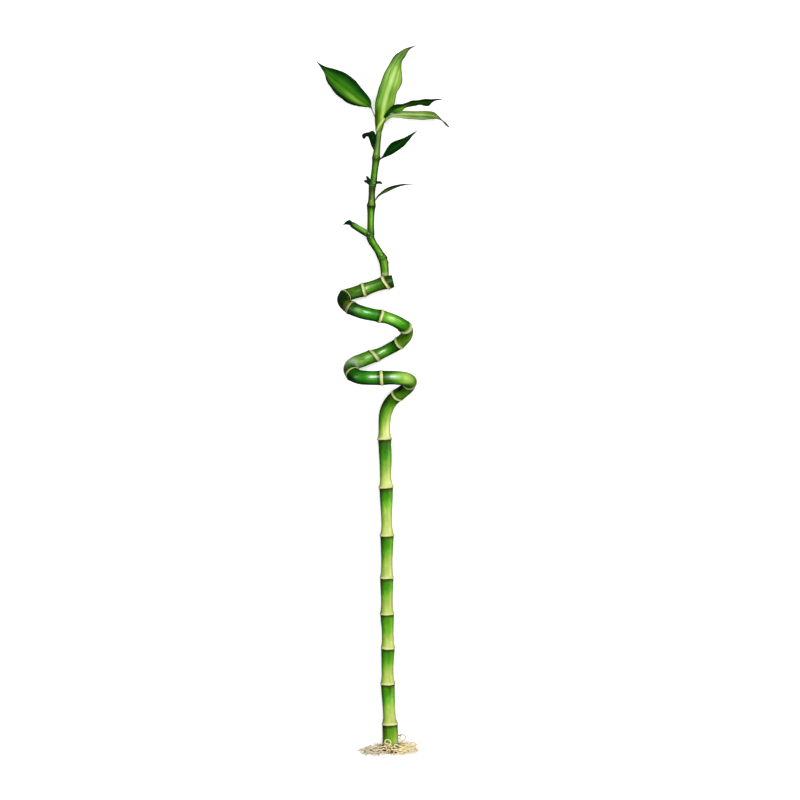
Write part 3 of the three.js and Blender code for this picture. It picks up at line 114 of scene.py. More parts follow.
BLADES = {  # each leaf's two edges and its midrib, base to tip
    "left_leaf": dict(
        edgeA=[
            (-21.39, 256.9, 18.5), (-23.73, 262.04, 19.68), (-25.79, 267.25, 21.01), (-26.53, 272.68, 22.93), (-29.3, 277.48, 24.51), (-33.03, 281.7, 25.66),
            (-36.63, 286.11, 26.31), (-40.29, 290.69, 25.68), (-44.7, 294.63, 24.5), (-49.56, 298.06, 23.11), (-54.94, 301.07, 19.28), (-60.62, 303.43, 15.18),
            (-66.42, 305.49, 10.99), (-71.97, 308.61, 5.87), (-77.08, 312.66, 0.75),
        ],
        midrib=[
            (-21.76, 256.54, 18.5), (-24.08, 261.43, 19.39), (-26.12, 266.4, 20.44), (-30.4, 269.59, 21.81), (-35.24, 272.08, 22.82), (-39.86, 274.98, 23.46),
            (-44.31, 278.14, 24.11), (-48.73, 281.56, 23.48), (-53.11, 285.15, 22.3), (-57.42, 288.84, 21.12), (-61.65, 293.1, 17.63), (-65.71, 297.61, 13.88),
            (-69.62, 302.32, 10.04), (-73.27, 307.45, 5.39), (-77.08, 312.48, 0.75),
        ],
        edgeB=[
            (-22.12, 256.26, 18.5), (-24.69, 261.42, 19.11), (-27.09, 266.56, 19.87), (-32.65, 267.73, 19.64), (-38.47, 268.36, 18.9), (-44.12, 269.97, 17.91),
            (-49.32, 272.61, 17.98), (-54.17, 276.09, 16.78), (-58.57, 280.25, 15.02), (-62.39, 284.8, 14.39), (-65.82, 289.94, 12.18), (-68.14, 295.74, 9.72),
            (-69.85, 301.76, 7.18), (-73.29, 307.14, 3.96), (-77.08, 312.29, 0.75),
        ],
    ),
    "top_leaf": dict(
        edgeA=[
            (-22.3, 245.44, 18.8), (-22.73, 251.34, 19.34), (-23.06, 257.25, 19.86), (-22.98, 263.15, 20.5), (-22.66, 269, 21.44), (-22.11, 274.82, 22.36),
            (-20.51, 280.46, 23.14), (-18.75, 286.06, 23.92), (-16.85, 291.6, 24.7), (-14.45, 296.97, 25.36), (-11.85, 302.24, 26.01), (-9.1, 307.43, 26.67),
            (-5.71, 312.34, 26.69), (-1.44, 316.52, 26.55), (3.72, 319.61, 25.83), (9.36, 321.9, 24.17), (15.14, 323.76, 22.5),
        ],
        midrib=[
            (-19.53, 245.09, 21.4), (-18.53, 250.54, 21.73), (-17.43, 255.98, 22.07), (-16.41, 261.36, 22.85), (-15.18, 266.65, 23.93), (-13.83, 271.91, 25.03),
            (-12.37, 277.12, 26.19), (-10.73, 282.27, 27.34), (-9.07, 287.41, 28.5), (-7.3, 292.61, 28.97), (-5.32, 297.74, 29.44), (-3.17, 302.8, 29.91),
            (-0.77, 307.92, 29.33), (2.01, 312.88, 28.5), (5.45, 317.5, 27.08), (9.91, 321.18, 24.79), (15.14, 323.58, 22.5),
        ],
        edgeB=[
            (-16.27, 245.44, 18.8), (-14.89, 250.73, 19.24), (-13.11, 255.91, 19.63), (-10.61, 260.79, 20), (-7.68, 265.38, 20.67), (-5.06, 270.11, 21.34),
            (-4.31, 275.47, 22.06), (-2.55, 280.59, 22.78), (-0.05, 285.39, 23.5), (2.19, 290.37, 23.78), (2.22, 295.76, 24.06), (1.17, 301.12, 24.34),
            (1.62, 306.59, 24.33), (3.98, 311.54, 24.45), (6.72, 316.27, 24.78), (10.34, 320.42, 23.79), (15.14, 323.39, 22.5),
        ],
    ),
    "right_upper_leaf": dict(
        edgeA=[
            (-15.05, 258.21, 22.2), (-12.71, 261.71, 24.66), (-9.92, 264.93, 26.9), (-6.52, 267.55, 28.93), (-2.3, 268.67, 30.44), (2.15, 269.04, 31.64),
            (6.47, 270.02, 32.84), (10.72, 271.52, 32.36), (15.15, 272.42, 31.16), (19.62, 273.11, 29.96), (24.12, 273.7, 28.25), (28.67, 274.4, 24.48),
            (33.23, 275.15, 20.71), (37.76, 275.04, 17.27), (42.16, 274.22, 14),
        ],
        midrib=[
            (-14.42, 257.38, 21.6), (-11.63, 260.53, 23.03), (-8.46, 263.32, 24.23), (-4.66, 265.28, 25.28), (-0.66, 266.86, 26.01), (3.45, 268.21, 26.44),
            (7.64, 269.28, 26.87), (11.9, 270.19, 26.4), (16.19, 271.01, 25.54), (20.54, 271.25, 24.69), (24.85, 272.05, 23.52), (29.13, 273.38, 21.14),
            (33.45, 274.49, 18.76), (37.85, 274.7, 16.38), (42.16, 274.08, 14),
        ],
        edgeB=[
            (-13.78, 256.71, 21.2), (-10.52, 259.55, 21.99), (-6.91, 261.88, 22.54), (-2.52, 262.17, 22.94), (1.51, 263.52, 23.03), (4.95, 266.27, 22.8),
            (9.22, 267.3, 22.57), (13.51, 268.44, 21.8), (17.85, 269.36, 20.8), (22.12, 268.53, 19.8), (26.03, 268.88, 18.8), (29.45, 271.83, 17.81),
            (33.4, 273.91, 16.82), (37.79, 274.59, 15.49), (42.16, 273.94, 14),
        ],
    ),
    "right_lower_leaf": dict(
        edgeA=[
            (-14.72, 254.63, 18.4), (-11.98, 258.8, 18.02), (-8.01, 261.8, 17.64), (-3.38, 263.69, 16.96), (1.53, 264.55, 16.24), (6.5, 264.78, 15.53),
            (11.49, 264.87, 14.62), (16.48, 264.97, 13.42), (21.47, 265.14, 12.22), (26.48, 265.28, 11.02), (31.33, 264.55, 8.97), (35.21, 261.7, 6.83),
            (38.8, 258.48, 4.7), (42.65, 255.5, 2.73), (45.88, 251.92, 0.75),
        ],
        midrib=[
            (-14.35, 253.75, 18.8), (-11.36, 257.28, 19.37), (-7.41, 259.66, 19.94), (-2.8, 260.54, 19.87), (1.88, 260.94, 19.73), (6.58, 261.01, 19.59),
            (11.27, 260.97, 18.93), (15.98, 260.91, 17.5), (20.69, 260.91, 16.07), (25.4, 260.8, 14.64), (30.1, 260.51, 11.86), (34.61, 259.37, 8.94),
            (38.66, 257.28, 6.04), (42.11, 254.36, 3.39), (45.69, 251.55, 0.75),
        ],
        edgeB=[
            (-13.98, 252.94, 19.4), (-10.74, 255.91, 21.3), (-6.74, 257.68, 23.21), (-2.19, 257.19, 23.94), (2.34, 256.55, 24.54), (6.89, 256.06, 25.14),
            (11.44, 255.73, 24.81), (16.01, 255.64, 23.1), (20.6, 255.81, 21.39), (25.19, 256.23, 19.67), (29.81, 257.14, 15.84), (34.46, 257.89, 11.76),
            (38.63, 256.58, 7.75), (41.69, 253.55, 4.25), (45.51, 251.37, 0.75),
        ],
    ),
    "mid_right_leaf": dict(
        edgeA=[
            (-18.67, 220.94, 16.5), (-15.97, 223.31, 17.42), (-14.18, 226.44, 18.33), (-12.33, 229.49, 19.55), (-10.23, 232.36, 20.97), (-7.64, 234.79, 22.38),
            (-4.38, 236.34, 23.8), (-0.89, 237.58, 23.19), (2.63, 238.76, 22.58), (5.95, 240.43, 21.97), (9.07, 242.56, 20.83), (12.35, 244.55, 18.92),
            (15.74, 246.32, 17),
        ],
        midrib=[
            (-18.58, 220.34, 16.2), (-15.63, 222.32, 16.74), (-13.02, 224.73, 17.28), (-10.4, 227.1, 18.08), (-7.58, 229.21, 19.06), (-4.58, 231.07, 20.03),
            (-1.54, 232.86, 21), (1.46, 234.86, 20.72), (4.4, 236.96, 20.44), (7.14, 239.32, 20.17), (9.93, 241.68, 19.5), (12.83, 243.97, 18.25),
            (15.83, 246.14, 17),
        ],
        edgeB=[
            (-18.4, 219.73, 15.9), (-15.22, 221.52, 16.15), (-11.8, 222.81, 16.4), (-8.39, 224.11, 16.88), (-5.27, 225.94, 17.52), (-2.19, 227.86, 18.16),
            (0.84, 229.84, 18.8), (3.73, 232.07, 18.8), (6.15, 234.82, 18.8), (8.51, 237.62, 18.8), (10.77, 240.54, 18.5), (13.23, 243.36, 17.75),
            (15.92, 245.95, 17),
        ],
    ),
    "low_thin_leaf": dict(
        edgeA=[
            (-22.83, 183.16, 13.6), (-20.91, 186.72, 14.52), (-17.94, 189.54, 15.44), (-14.74, 192.13, 15.98), (-11.15, 194.21, 16.14), (-7.27, 195.67, 16.29),
            (-3.24, 196.67, 16.07), (0.85, 197.59, 14.47), (4.99, 198.2, 12.88), (9.15, 198.36, 11.22), (13.32, 198.27, 9.5),
        ],
        midrib=[
            (-22.55, 182.99, 13.4), (-20.47, 186.44, 13.84), (-17.45, 189.14, 14.28), (-14.09, 191.44, 14.43), (-10.47, 193.32, 14.29), (-6.69, 194.87, 14.14),
            (-2.79, 196.1, 14), (1.18, 197.13, 12.88), (5.23, 197.8, 11.75), (9.32, 198.05, 10.62), (13.41, 198.08, 9.5),
        ],
        edgeB=[
            (-22.28, 182.83, 13.2), (-19.93, 186.06, 13.24), (-16.81, 188.54, 13.28), (-13.24, 190.37, 13.06), (-9.68, 192.26, 12.59), (-6.05, 194.01, 12.11),
            (-2.31, 195.44, 12.03), (1.54, 196.63, 11.38), (5.48, 197.42, 10.72), (9.49, 197.76, 10.09), (13.51, 197.9, 9.5),
        ],
    ),
    "withered_bract": dict(
        edgeA=[
            (-23.97, 228.13, 17.6), (-24.83, 229.97, 17.53), (-25.69, 231.82, 17.45), (-26.53, 233.66, 17.56), (-27.25, 235.48, 18.07), (-27.88, 237.34, 18.59),
            (-28.52, 239.26, 18.62), (-29.58, 241, 18.31), (-31.2, 240.65, 17.56), (-32.12, 238.95, 16.7),
        ],
        midrib=[
            (-23.23, 228.86, 17.6), (-23.68, 231.34, 18.12), (-24.05, 233.84, 18.64), (-24.4, 236.34, 19.11), (-24.89, 238.83, 19.48), (-25.77, 241.2, 19.85),
            (-27.75, 242.8, 19.67), (-30.28, 242.4, 19.11), (-32.57, 241.39, 18.11), (-32.94, 239, 17),
        ],
        edgeB=[
            (-22.32, 229.56, 17.8), (-21.7, 233.12, 18.47), (-21.11, 236.68, 19.13), (-21.56, 240.23, 19.67), (-22.64, 243.73, 19.89), (-24.98, 245.95, 20.11),
            (-28.41, 244.64, 19.83), (-32.06, 244.14, 19.22), (-34.87, 242.25, 18.17), (-33.95, 239, 17),
        ],
    ),
    "side_stub_leaf": dict(
        edgeA=[
            (-43.46, 163.01, 13.4), (-44.76, 164.35, 13.56), (-46.45, 165.09, 13.58), (-48.17, 164.35, 13.07), (-49.74, 163.31, 12.83), (-51.13, 162.05, 12.32),
            (-52.39, 160.67, 11.8),
        ],
        midrib=[
            (-44.07, 161.36, 14.4), (-45.36, 162.22, 14.62), (-46.79, 162.8, 14.71), (-48.31, 162.5, 14.27), (-49.78, 161.98, 13.63), (-51.16, 161.28, 12.72),
            (-52.49, 160.49, 11.8),
        ],
        edgeB=[
            (-44.74, 159.43, 13.4), (-45.88, 160.08, 13.56), (-47.13, 160.52, 13.58), (-48.46, 160.74, 13.07), (-49.79, 160.8, 12.83), (-51.11, 160.63, 12.32),
            (-52.39, 160.3, 11.8),
        ],
    ),
}

ROOTS = [  # radius, middle line
    (0.56, [
        (-16.72, -319.14, 7.6), (-18.5, -319.16, 7.59), (-20.24, -319.18, 7.4), (-21.92, -319.51, 7.16), (-23.52, -319.91, 7.66), (-24.88, -318.95, 7.18),
        (-26.11, -318.21, 6.17), (-27.58, -318.89, 5.74), (-28.99, -319.91, 6.01), (-30.47, -319.71, 5.2), (-31.7, -319.77, 4), (-32.94, -320.82, 3.62),
        (-34.32, -321.77, 3.75), (-35.67, -321.46, 2.78), (-36.89, -321.52, 1.99), (-38.32, -322.94, 2.35), (-40.01, -324.49, 2.24),
    ]),
    (0.55, [
        (-16.8, -321.53, 6.56), (-18.51, -321.57, 6.33), (-20.02, -322.34, 6.1), (-21.49, -323, 5.68), (-22.88, -322.07, 5.98), (-24.43, -321.73, 6.17),
        (-25.76, -322.28, 5.27), (-26.99, -322.04, 4.43), (-28.5, -321.6, 4.04), (-29.65, -322.78, 4.13), (-30.64, -324.17, 4.09), (-31.86, -324.32, 3.22),
        (-32.69, -323.23, 1.74), (-34.04, -322.03, 0.78), (-35.63, -322.5, 1.54), (-36.81, -323.57, 1.89), (-38.39, -323.21, 0.6), (-39.96, -323.11, 0.6),
    ]),
    (0.54, [
        (-16.03, -320.24, 4.32), (-17.57, -320.3, 3.62), (-18.96, -321.26, 3.66), (-20.38, -322.06, 4.11), (-21.74, -322.22, 3.24), (-22.92, -323.03, 2.52),
        (-24.06, -324.3, 2.78), (-25.49, -325.1, 3.16), (-26.82, -324.34, 2.58), (-27.85, -323.17, 1.48), (-29.27, -322.45, 1.1), (-30.55, -323.38, 1.98),
        (-31.28, -324.87, 1.83), (-32.35, -325.76, 0.6), (-34.42, -325.76, 0.6), (-35.89, -324.97, 0.6), (-36.73, -324.43, 0.6),
    ]),
    (0.5, [
        (-14.26, -322.45, 1.87), (-15.44, -322.55, 0.63), (-16.8, -323.68, 0.69), (-18.09, -324.91, 0.6), (-19.63, -325.38, 1.24), (-21.29, -325.81, 1.08),
        (-22.78, -326.57, 0.6), (-24.44, -326.97, 0.84), (-26.01, -326.48, 0.81), (-27.51, -325.9, 0.6), (-29.24, -325.98, 0.6), (-30.55, -326.81, 0.94),
        (-32.04, -327.56, 0.95), (-33.56, -326.89, 1.55), (-35.05, -325.34, 2.64),
    ]),
    (0.5, [
        (-16.31, -319.69, 10.16), (-17.95, -319.59, 10.69), (-19.28, -318.42, 10.52), (-20.78, -317.57, 10.24), (-22.54, -317.56, 9.99), (-24.31, -317.61, 10.09),
        (-26.03, -317.9, 9.85), (-27.45, -318.66, 9.11), (-28.68, -319.78, 8.48), (-29.83, -321.08, 8.08), (-30.08, -322.43, 7.16), (-29, -323.55, 6.14),
        (-27.41, -324.29, 6.08), (-25.88, -323.78, 6.94), (-24.46, -322.9, 7.48),
    ]),
    (0.5, [
        (-15.17, -322.26, 12.41), (-16.54, -322.17, 13.45), (-17.91, -321.1, 13.56), (-19.15, -319.89, 13.13), (-20.62, -319.79, 12.28), (-21.87, -321.05, 12.4),
        (-23.26, -321.94, 11.9), (-24.58, -321.19, 10.84), (-25.92, -319.9, 10.81), (-27.39, -320.03, 10.78), (-28.25, -320.99, 9.96), (-29.32, -322.09, 9.34),
        (-30.9, -322.19, 8.94), (-31.89, -321.42, 7.68), (-32.94, -320.53, 6.61),
    ]),
    (0.48, [
        (-16.84, -323.55, 9.16), (-18.53, -323.62, 9.5), (-19.9, -324.66, 9.73), (-21.44, -325.15, 9.22), (-23.09, -325.23, 8.78), (-24.75, -325.72, 8.94),
        (-26.26, -325.45, 8.4), (-27.52, -324.79, 7.64), (-29.03, -324.95, 6.91), (-30.16, -326.09, 6.28), (-31.33, -326.6, 5.11), (-32.46, -325.94, 3.98),
        (-33.73, -324.95, 3.37),
    ]),
    (0.45, [
        (-16.73, -323.73, 5.54), (-18.38, -323.92, 5.05), (-19.02, -325.57, 4.71), (-20.33, -326.22, 4.43), (-21.73, -325.54, 3.51), (-23.44, -325.79, 3.73),
        (-24.85, -326.75, 3.29), (-26.3, -327.17, 2.33), (-27.97, -326.59, 2.65), (-29.47, -326.19, 2.16),
    ]),
    (0.58, [
        (-1.67, -317.66, 7.86), (0.12, -317.64, 7.97), (1.81, -317.27, 8.22), (3.43, -316.6, 7.88), (5.09, -317.16, 8.16), (6.72, -316.85, 7.8),
        (8.04, -316.38, 6.83), (9.38, -317.15, 5.98), (10.69, -318.33, 5.86), (12.4, -318.32, 5.81), (13.72, -318.7, 4.76), (14.6, -319.93, 3.67),
        (15.64, -321.25, 2.85), (17.44, -321.65, 3.06),
    ]),
    (0.58, [
        (-2.02, -319.69, 5.79), (-0.27, -319.74, 5.44), (1.41, -320.08, 5.93), (2.82, -320.74, 6.7), (4.24, -320.9, 6), (5.38, -320.03, 5.19),
        (6.65, -318.87, 5.49), (8.22, -318.95, 5.44), (9.23, -319.97, 4.34), (10.28, -321.13, 3.45), (11.67, -321.65, 3.96), (13.07, -321.42, 3.44),
        (14.17, -321.82, 2.64), (15.44, -323.06, 2.78), (16.61, -324.27, 2.51),
    ]),
    (0.55, [
        (-3.04, -321.34, 3.64), (-1.54, -321.42, 2.81), (-0.15, -322.3, 3.33), (1.43, -322.49, 3.67), (2.81, -323.21, 3.05), (4.34, -323.18, 3.57),
        (5.55, -322.02, 3.17), (6.73, -321.63, 1.96), (7.89, -322.78, 1.55), (8.97, -323.88, 2.38), (10.47, -323.56, 2.1), (11.76, -323.02, 0.93),
        (13.3, -323.41, 1.33), (14.87, -323.32, 1.36), (16.29, -322.88, 0.6), (17.72, -323.7, 0.6),
    ]),
    (0.5, [
        (-4.68, -323, 1.87), (-3.58, -323.05, 0.66), (-2.25, -324.06, 0.66), (-0.88, -325.05, 0.6), (0.63, -325.47, 1.04), (2.28, -325.65, 1.24),
        (3.84, -325.76, 0.78), (5.43, -325.82, 0.71), (7.03, -325.82, 1.22), (8.72, -325.89, 1.55), (10.39, -326.1, 0.84), (12.01, -326.27, 0.67),
        (13.62, -326.14, 1), (15.18, -325.52, 1.35),
    ]),
    (0.5, [
        (-2.65, -319.32, 11.11), (-1.12, -319.26, 11.86), (0.38, -318.41, 11.84), (1.9, -317.62, 11.7), (3.52, -318.02, 11.48), (5.08, -318.6, 11.34),
        (6.83, -318.77, 11.43), (8.49, -319.54, 11.49), (9.95, -320.43, 11.06), (11.36, -320.19, 10.24), (12.77, -319.42, 9.47), (13.09, -318.23, 8.9),
        (11.81, -317.07, 8.8), (10.2, -317.02, 9.15), (8.82, -317.81, 9.82),
    ]),
    (0.55, [
        (-5, -321.53, 13.65), (-3.97, -321.48, 14.94), (-2.53, -320.6, 15.32), (-1.06, -320.71, 14.62), (0.41, -320.57, 14.26), (1.9, -320.44, 13.9),
        (3.06, -321.14, 12.95), (4.59, -321.52, 13.04), (5.89, -320.58, 13.59), (6.98, -320.05, 12.94), (8.13, -320.75, 12.15), (9.33, -321.83, 12.13),
        (10.71, -321.93, 11.13), (11.71, -321.56, 9.8), (13.16, -321.92, 9.56), (14.29, -322.11, 8.51), (15.08, -321.48, 7.14),
    ]),
    (0.5, [
        (-2.3, -323, 9.66), (-0.57, -323.05, 10.04), (0.85, -323.76, 9.2), (2.49, -324.16, 9.15), (3.89, -323.15, 9.13), (5.31, -322.64, 8.22),
        (6.86, -323.24, 8.15), (8.41, -323.76, 8.11), (9.68, -323.6, 6.83), (11.25, -323.84, 6.17), (12.95, -324.2, 6.33), (14.27, -323.81, 5.3),
        (15.64, -323.57, 4.31), (16.96, -324.36, 4.18),
    ]),
    (0.42, [
        (-1.98, -315.46, 10.16), (-0.29, -315.41, 10.67), (1.28, -314.86, 10.09), (2.78, -314.37, 9.3), (4.46, -314.89, 9.07), (5.88, -314.23, 8.26),
        (7.1, -313.97, 7.03), (8.28, -314.86, 6.02), (9.77, -315.69, 5.66), (11.38, -315.25, 5.25), (12.65, -315.79, 4.21), (13.89, -316.52, 3.16),
        (15.44, -315.95, 2.71), (16.96, -315.04, 2.7), (18.5, -315.14, 1.86), (19.75, -314.46, 0.82),
    ]),
    (0.45, [
        (-3.19, -316.74, 2.99), (-1.73, -316.76, 2.07), (-0.18, -316.98, 2.93), (1.5, -317.44, 3.27), (3.13, -316.81, 3.36), (4.6, -315.88, 3.11),
        (5.99, -315.95, 2), (7.39, -316.95, 1.65), (9.01, -317.63, 1.84), (10.47, -316.97, 1.07), (11.96, -316.06, 0.79), (13.55, -316.44, 1.33),
        (14.74, -317.72, 0.93), (16.06, -318.83, 0.6),
    ]),
    (0.5, [
        (-5.49, -318.95, 14.08), (-4.71, -318.86, 15.49), (-4.96, -317.29, 15.78), (-4.94, -315.76, 16.57), (-3.55, -315.44, 16.01), (-2.11, -316.02, 15.43),
        (-0.77, -316.79, 14.81), (0.57, -317.51, 14.14), (1.98, -318.4, 14.41), (3.54, -318.31, 14.06), (4.87, -317.4, 13.62), (6.4, -316.76, 13.67),
        (7.81, -317.08, 12.85), (9.17, -317.84, 12.25),
    ]),
    (0.5, [
        (-11.67, -320.98, 14.71), (-12.17, -320.86, 16.25), (-12.18, -319.14, 16.33), (-12.62, -317.59, 16.08), (-14.11, -317.02, 16.3), (-15.61, -317.33, 15.59),
        (-17.16, -317.65, 15.13), (-18.76, -318.1, 15.29), (-20.2, -318.22, 14.38), (-21.76, -317.71, 14.2), (-23.27, -317.49, 13.68), (-24.34, -318.17, 12.7),
        (-25.56, -319.19, 12.74),
    ]),
    (0.48, [
        (-9.48, -322.81, 15.08), (-9.41, -322.61, 16.71), (-9.36, -321.17, 17.56), (-9.73, -319.85, 17.73), (-11.02, -320.22, 18.19), (-12.34, -321.23, 17.71),
        (-13.54, -322.3, 16.33), (-15.13, -322.2, 15.99), (-16.56, -321.38, 16.17), (-18.11, -321.72, 15.67), (-19.47, -322.72, 15.27), (-21.14, -323.16, 14.87),
        (-22.75, -322.69, 14.15), (-24.25, -322.57, 13.15),
    ]),
    (0.48, [
        (-6.47, -323.37, 14.43), (-5.76, -323.19, 16.01), (-5.34, -321.29, 16.34), (-4.06, -321.19, 17.17), (-2.38, -321.74, 17.15), (-1.06, -322.3, 16.27),
        (0.34, -323.07, 15.56), (2.02, -322.67, 15.5), (3.58, -321.89, 15.41), (5.11, -322.25, 14.53), (6.41, -323.05, 13.5), (8.07, -323.3, 12.88),
    ]),
    (0.56, [
        (-16.74, -320.61, 8.64), (-18.43, -320.61, 8.86), (-20.11, -320.52, 8.71), (-21.75, -320.75, 8.65), (-23.31, -321.29, 8.89), (-24.63, -320.93, 7.94),
        (-25.89, -320.28, 7.02), (-27.48, -320.41, 7.04), (-28.74, -321.38, 6.56), (-29.84, -322.04, 5.45), (-31.3, -322.04, 4.86), (-32.94, -322.15, 5.24),
        (-34.16, -322.96, 4.51), (-35.31, -323.61, 3.4), (-36.91, -323.78, 3.5), (-38.29, -323.82, 3.61),
    ]),
    (0.54, [
        (-16.28, -318.03, 5.29), (-17.97, -318.12, 4.8), (-19.38, -319.19, 4.96), (-21.03, -319.75, 4.59), (-22.44, -320.71, 4.84), (-23.85, -321.66, 4.49),
        (-25.13, -321.38, 3.4), (-26.67, -321, 2.58), (-28.35, -321.59, 2.63), (-29.89, -321.45, 2.11), (-31.24, -320.81, 1.5), (-32.72, -321.51, 2.25),
        (-33.94, -322.99, 2.69), (-35.07, -323.82, 0.6),
    ]),
    (0.54, [
        (-15.86, -321.34, 11.34), (-17.43, -321.39, 12.13), (-19.17, -321.78, 12.05), (-20.76, -322.14, 11.35), (-22.21, -322.96, 10.76), (-23.84, -323.66, 10.91),
        (-25.49, -323.45, 10.41), (-26.82, -322.98, 9.28), (-28.42, -323.01, 8.55), (-30.07, -323.72, 8.44), (-31.44, -324.14, 7.55), (-32.76, -324.21, 6.4),
    ]),
    (0.54, [
        (-15.38, -323, 2.99), (-16.84, -323.04, 2.01), (-18.51, -323.53, 2.37), (-20.13, -324.16, 2.67), (-21.69, -324.05, 1.72), (-23.3, -323.88, 0.86),
        (-24.94, -324.28, 0.86), (-26.78, -324.55, 0.83), (-28.6, -324.23, 0.6), (-30.33, -323.83, 0.6), (-32.1, -324.11, 0.6), (-33.54, -324.94, 1.74),
    ]),
    (0.56, [
        (-1.93, -320.61, 8.64), (-0.24, -320.64, 8.84), (1.35, -321.11, 8.49), (2.59, -321.87, 7.6), (4.1, -321.89, 7.45), (5.46, -320.88, 7.72),
        (6.85, -320.65, 6.94), (8.02, -321.41, 5.97), (9.42, -322.28, 5.88), (11.05, -322.14, 6.01), (12.29, -322.53, 5.01), (13.51, -322.95, 3.9),
        (14.9, -322.18, 4.15), (16.25, -321.11, 4.33),
    ]),
    (0.54, [
        (-2.26, -318.4, 4.8), (-0.57, -318.44, 4.24), (1.1, -319.02, 4.53), (2.67, -319.15, 5.3), (4.01, -319.12, 4.07), (5.49, -319.92, 3.71),
        (6.97, -320.86, 3.89), (8.25, -320.8, 2.75), (9.67, -319.89, 2.52), (11.25, -319.29, 2.85), (12.52, -319.87, 1.62), (13.78, -320.96, 1.05),
        (15.28, -321.73, 1.43),
    ]),
    (0.54, [
        (-3.61, -320.61, 12.41), (-2.24, -320.54, 13.43), (-0.65, -319.83, 13.13), (1.03, -319.58, 12.92), (2.5, -319.5, 12.11), (4.16, -319.74, 12.49),
        (5.64, -320.14, 11.73), (6.95, -320.24, 10.24), (8.65, -319.88, 10.03), (10.08, -319.59, 9.29), (11.35, -319.84, 8.29), (12.9, -320.86, 8.42),
    ]),
    (0.52, [
        (-3.35, -323.92, 3.42), (-1.83, -323.95, 2.49), (-0.09, -324.05, 2.34), (1.62, -324.52, 2.16), (3.32, -324.48, 2.28), (4.73, -323.54, 1.87),
        (6.21, -323.61, 0.96), (7.58, -324.47, 0.6), (9.25, -324.73, 0.6), (10.89, -324.49, 0.84), (12.55, -324.86, 0.6), (14.22, -324.57, 0.6),
    ]),
    (0.58, [
        (-10.73, -322.08, 14.97), (-10.93, -322.02, 16.6), (-11.43, -322.48, 17.71), (-13.11, -323.1, 17.79), (-14.58, -323.71, 16.74), (-16.11, -324.08, 16.01),
        (-17.62, -323.71, 15.26), (-18.86, -323.26, 13.95), (-20.49, -323.05, 13.28),
    ]),
    (0.56, [
        (-8.54, -320.42, 15.04), (-8.34, -320.28, 16.69), (-7.7, -319.06, 17.97), (-6.34, -319.86, 17.8), (-4.73, -319.91, 17.66), (-3.15, -319.35, 17.33),
        (-1.73, -319.79, 16.43), (-0.43, -320.92, 16.23), (1.14, -321.25, 15.91), (2.62, -320.74, 15.08), (4.32, -320.6, 14.43),
    ]),
    (0.52, [
        (-7.97, -323.64, 14.92), (-7.48, -323.52, 16.53), (-5.86, -323.19, 17.55), (-4.16, -323.75, 16.87), (-2.46, -324.04, 16.09), (-0.93, -324.09, 15.08),
        (0.67, -323.9, 14.2), (2.4, -324.11, 13.93), (3.85, -324.88, 13.38),
    ]),
    (0.54, [
        (-13.03, -319.87, 14.08), (-13.87, -319.8, 15.55), (-15.01, -319.27, 16.05), (-16.54, -319.92, 15.66), (-18.17, -320.15, 15.41), (-19.56, -320.22, 14.57),
        (-20.97, -320.86, 14.03), (-22.58, -321.31, 13.89), (-23.88, -320.79, 13.08), (-24.93, -320.3, 12.13),
    ]),
    (0.5, [
        (-10, -318.77, 15.04), (-10.17, -318.82, 16.49), (-9.86, -317.56, 16.08), (-8.85, -317.58, 16.36), (-7.65, -317.92, 17.13), (-6.22, -317.37, 17.45),
        (-4.64, -317.49, 17.28), (-3.43, -318.16, 16.49), (-2.21, -318.55, 15.6),
    ]),
    (0.48, [
        (-1.38, -308.33, 8.4), (-0.09, -308.18, 8.87), (1.13, -307.71, 9.3), (2.42, -307.51, 9.72), (3.68, -307.89, 10.09), (4.64, -308.82, 10.38),
        (5.05, -310.09, 10.62), (4.57, -311.35, 10.86), (3.54, -312.21, 11.11), (2.22, -312.47, 11.34), (0.97, -311.97, 11.53), (0.09, -310.92, 11.59),
        (-0.13, -309.59, 11.42), (0.92, -308.78, 11.2),
    ]),
    (0.48, [
        (-7.33, -317.69, 15.4), (-7.44, -316.69, 16.22), (-8.3, -315.76, 16.5), (-9.43, -315.09, 16.62), (-10.73, -314.92, 16.64), (-12.01, -314.63, 16.58),
        (-13.2, -314.09, 16.45), (-13.86, -313.03, 16.42), (-13.58, -311.77, 16.59), (-12.58, -311, 16.9), (-11.36, -310.69, 17.25), (-10.11, -310.91, 17.58),
        (-9.04, -311.6, 17.89), (-8.4, -312.71, 18.13), (-8.42, -313.99, 18.35), (-9.03, -315.13, 18.51), (-10.09, -315.9, 18.61), (-11.32, -316.35, 18.59),
        (-12.62, -316.38, 18.38), (-13.78, -315.92, 18.04), (-14.64, -315.02, 17.6),
    ]),
]

# ------------------------------------------------------------------ lines and skins


def through(points, per=48):
    """Centripetal Catmull-Rom through the points."""
    P = np.asarray(points, float)
    X = np.vstack([2 * P[0] - P[1], P, 2 * P[-1] - P[-2]])
    out = []
    w = np.linspace(0, 1, per, endpoint=False)[:, None]
    for i in range(len(P) - 1):
        p0, p1, p2, p3 = X[i : i + 4]
        d0, d1, d2 = (max(np.linalg.norm(q - p) ** 0.5, 1e-6) for p, q in ((p0, p1), (p1, p2), (p2, p3)))
        t1 = ((p1 - p0) / d0 - (p2 - p0) / (d0 + d1) + (p2 - p1) / d1) * d1
        t2 = ((p2 - p1) / d1 - (p3 - p1) / (d1 + d2) + (p3 - p2) / d2) * d1
        out.append(p1 + t1 * w + (-3 * p1 + 3 * p2 - 2 * t1 - t2) * w**2 + (2 * p1 - 2 * p2 + t1 + t2) * w**3)
    out.append(P[-1:])
    return np.vstack(out)


def lengths(Q):
    return np.concatenate([[0], np.cumsum(np.linalg.norm(np.diff(Q, axis=0), axis=1))])


def unit(v):
    return v / np.maximum(np.linalg.norm(v, axis=-1, keepdims=True), 1e-12)


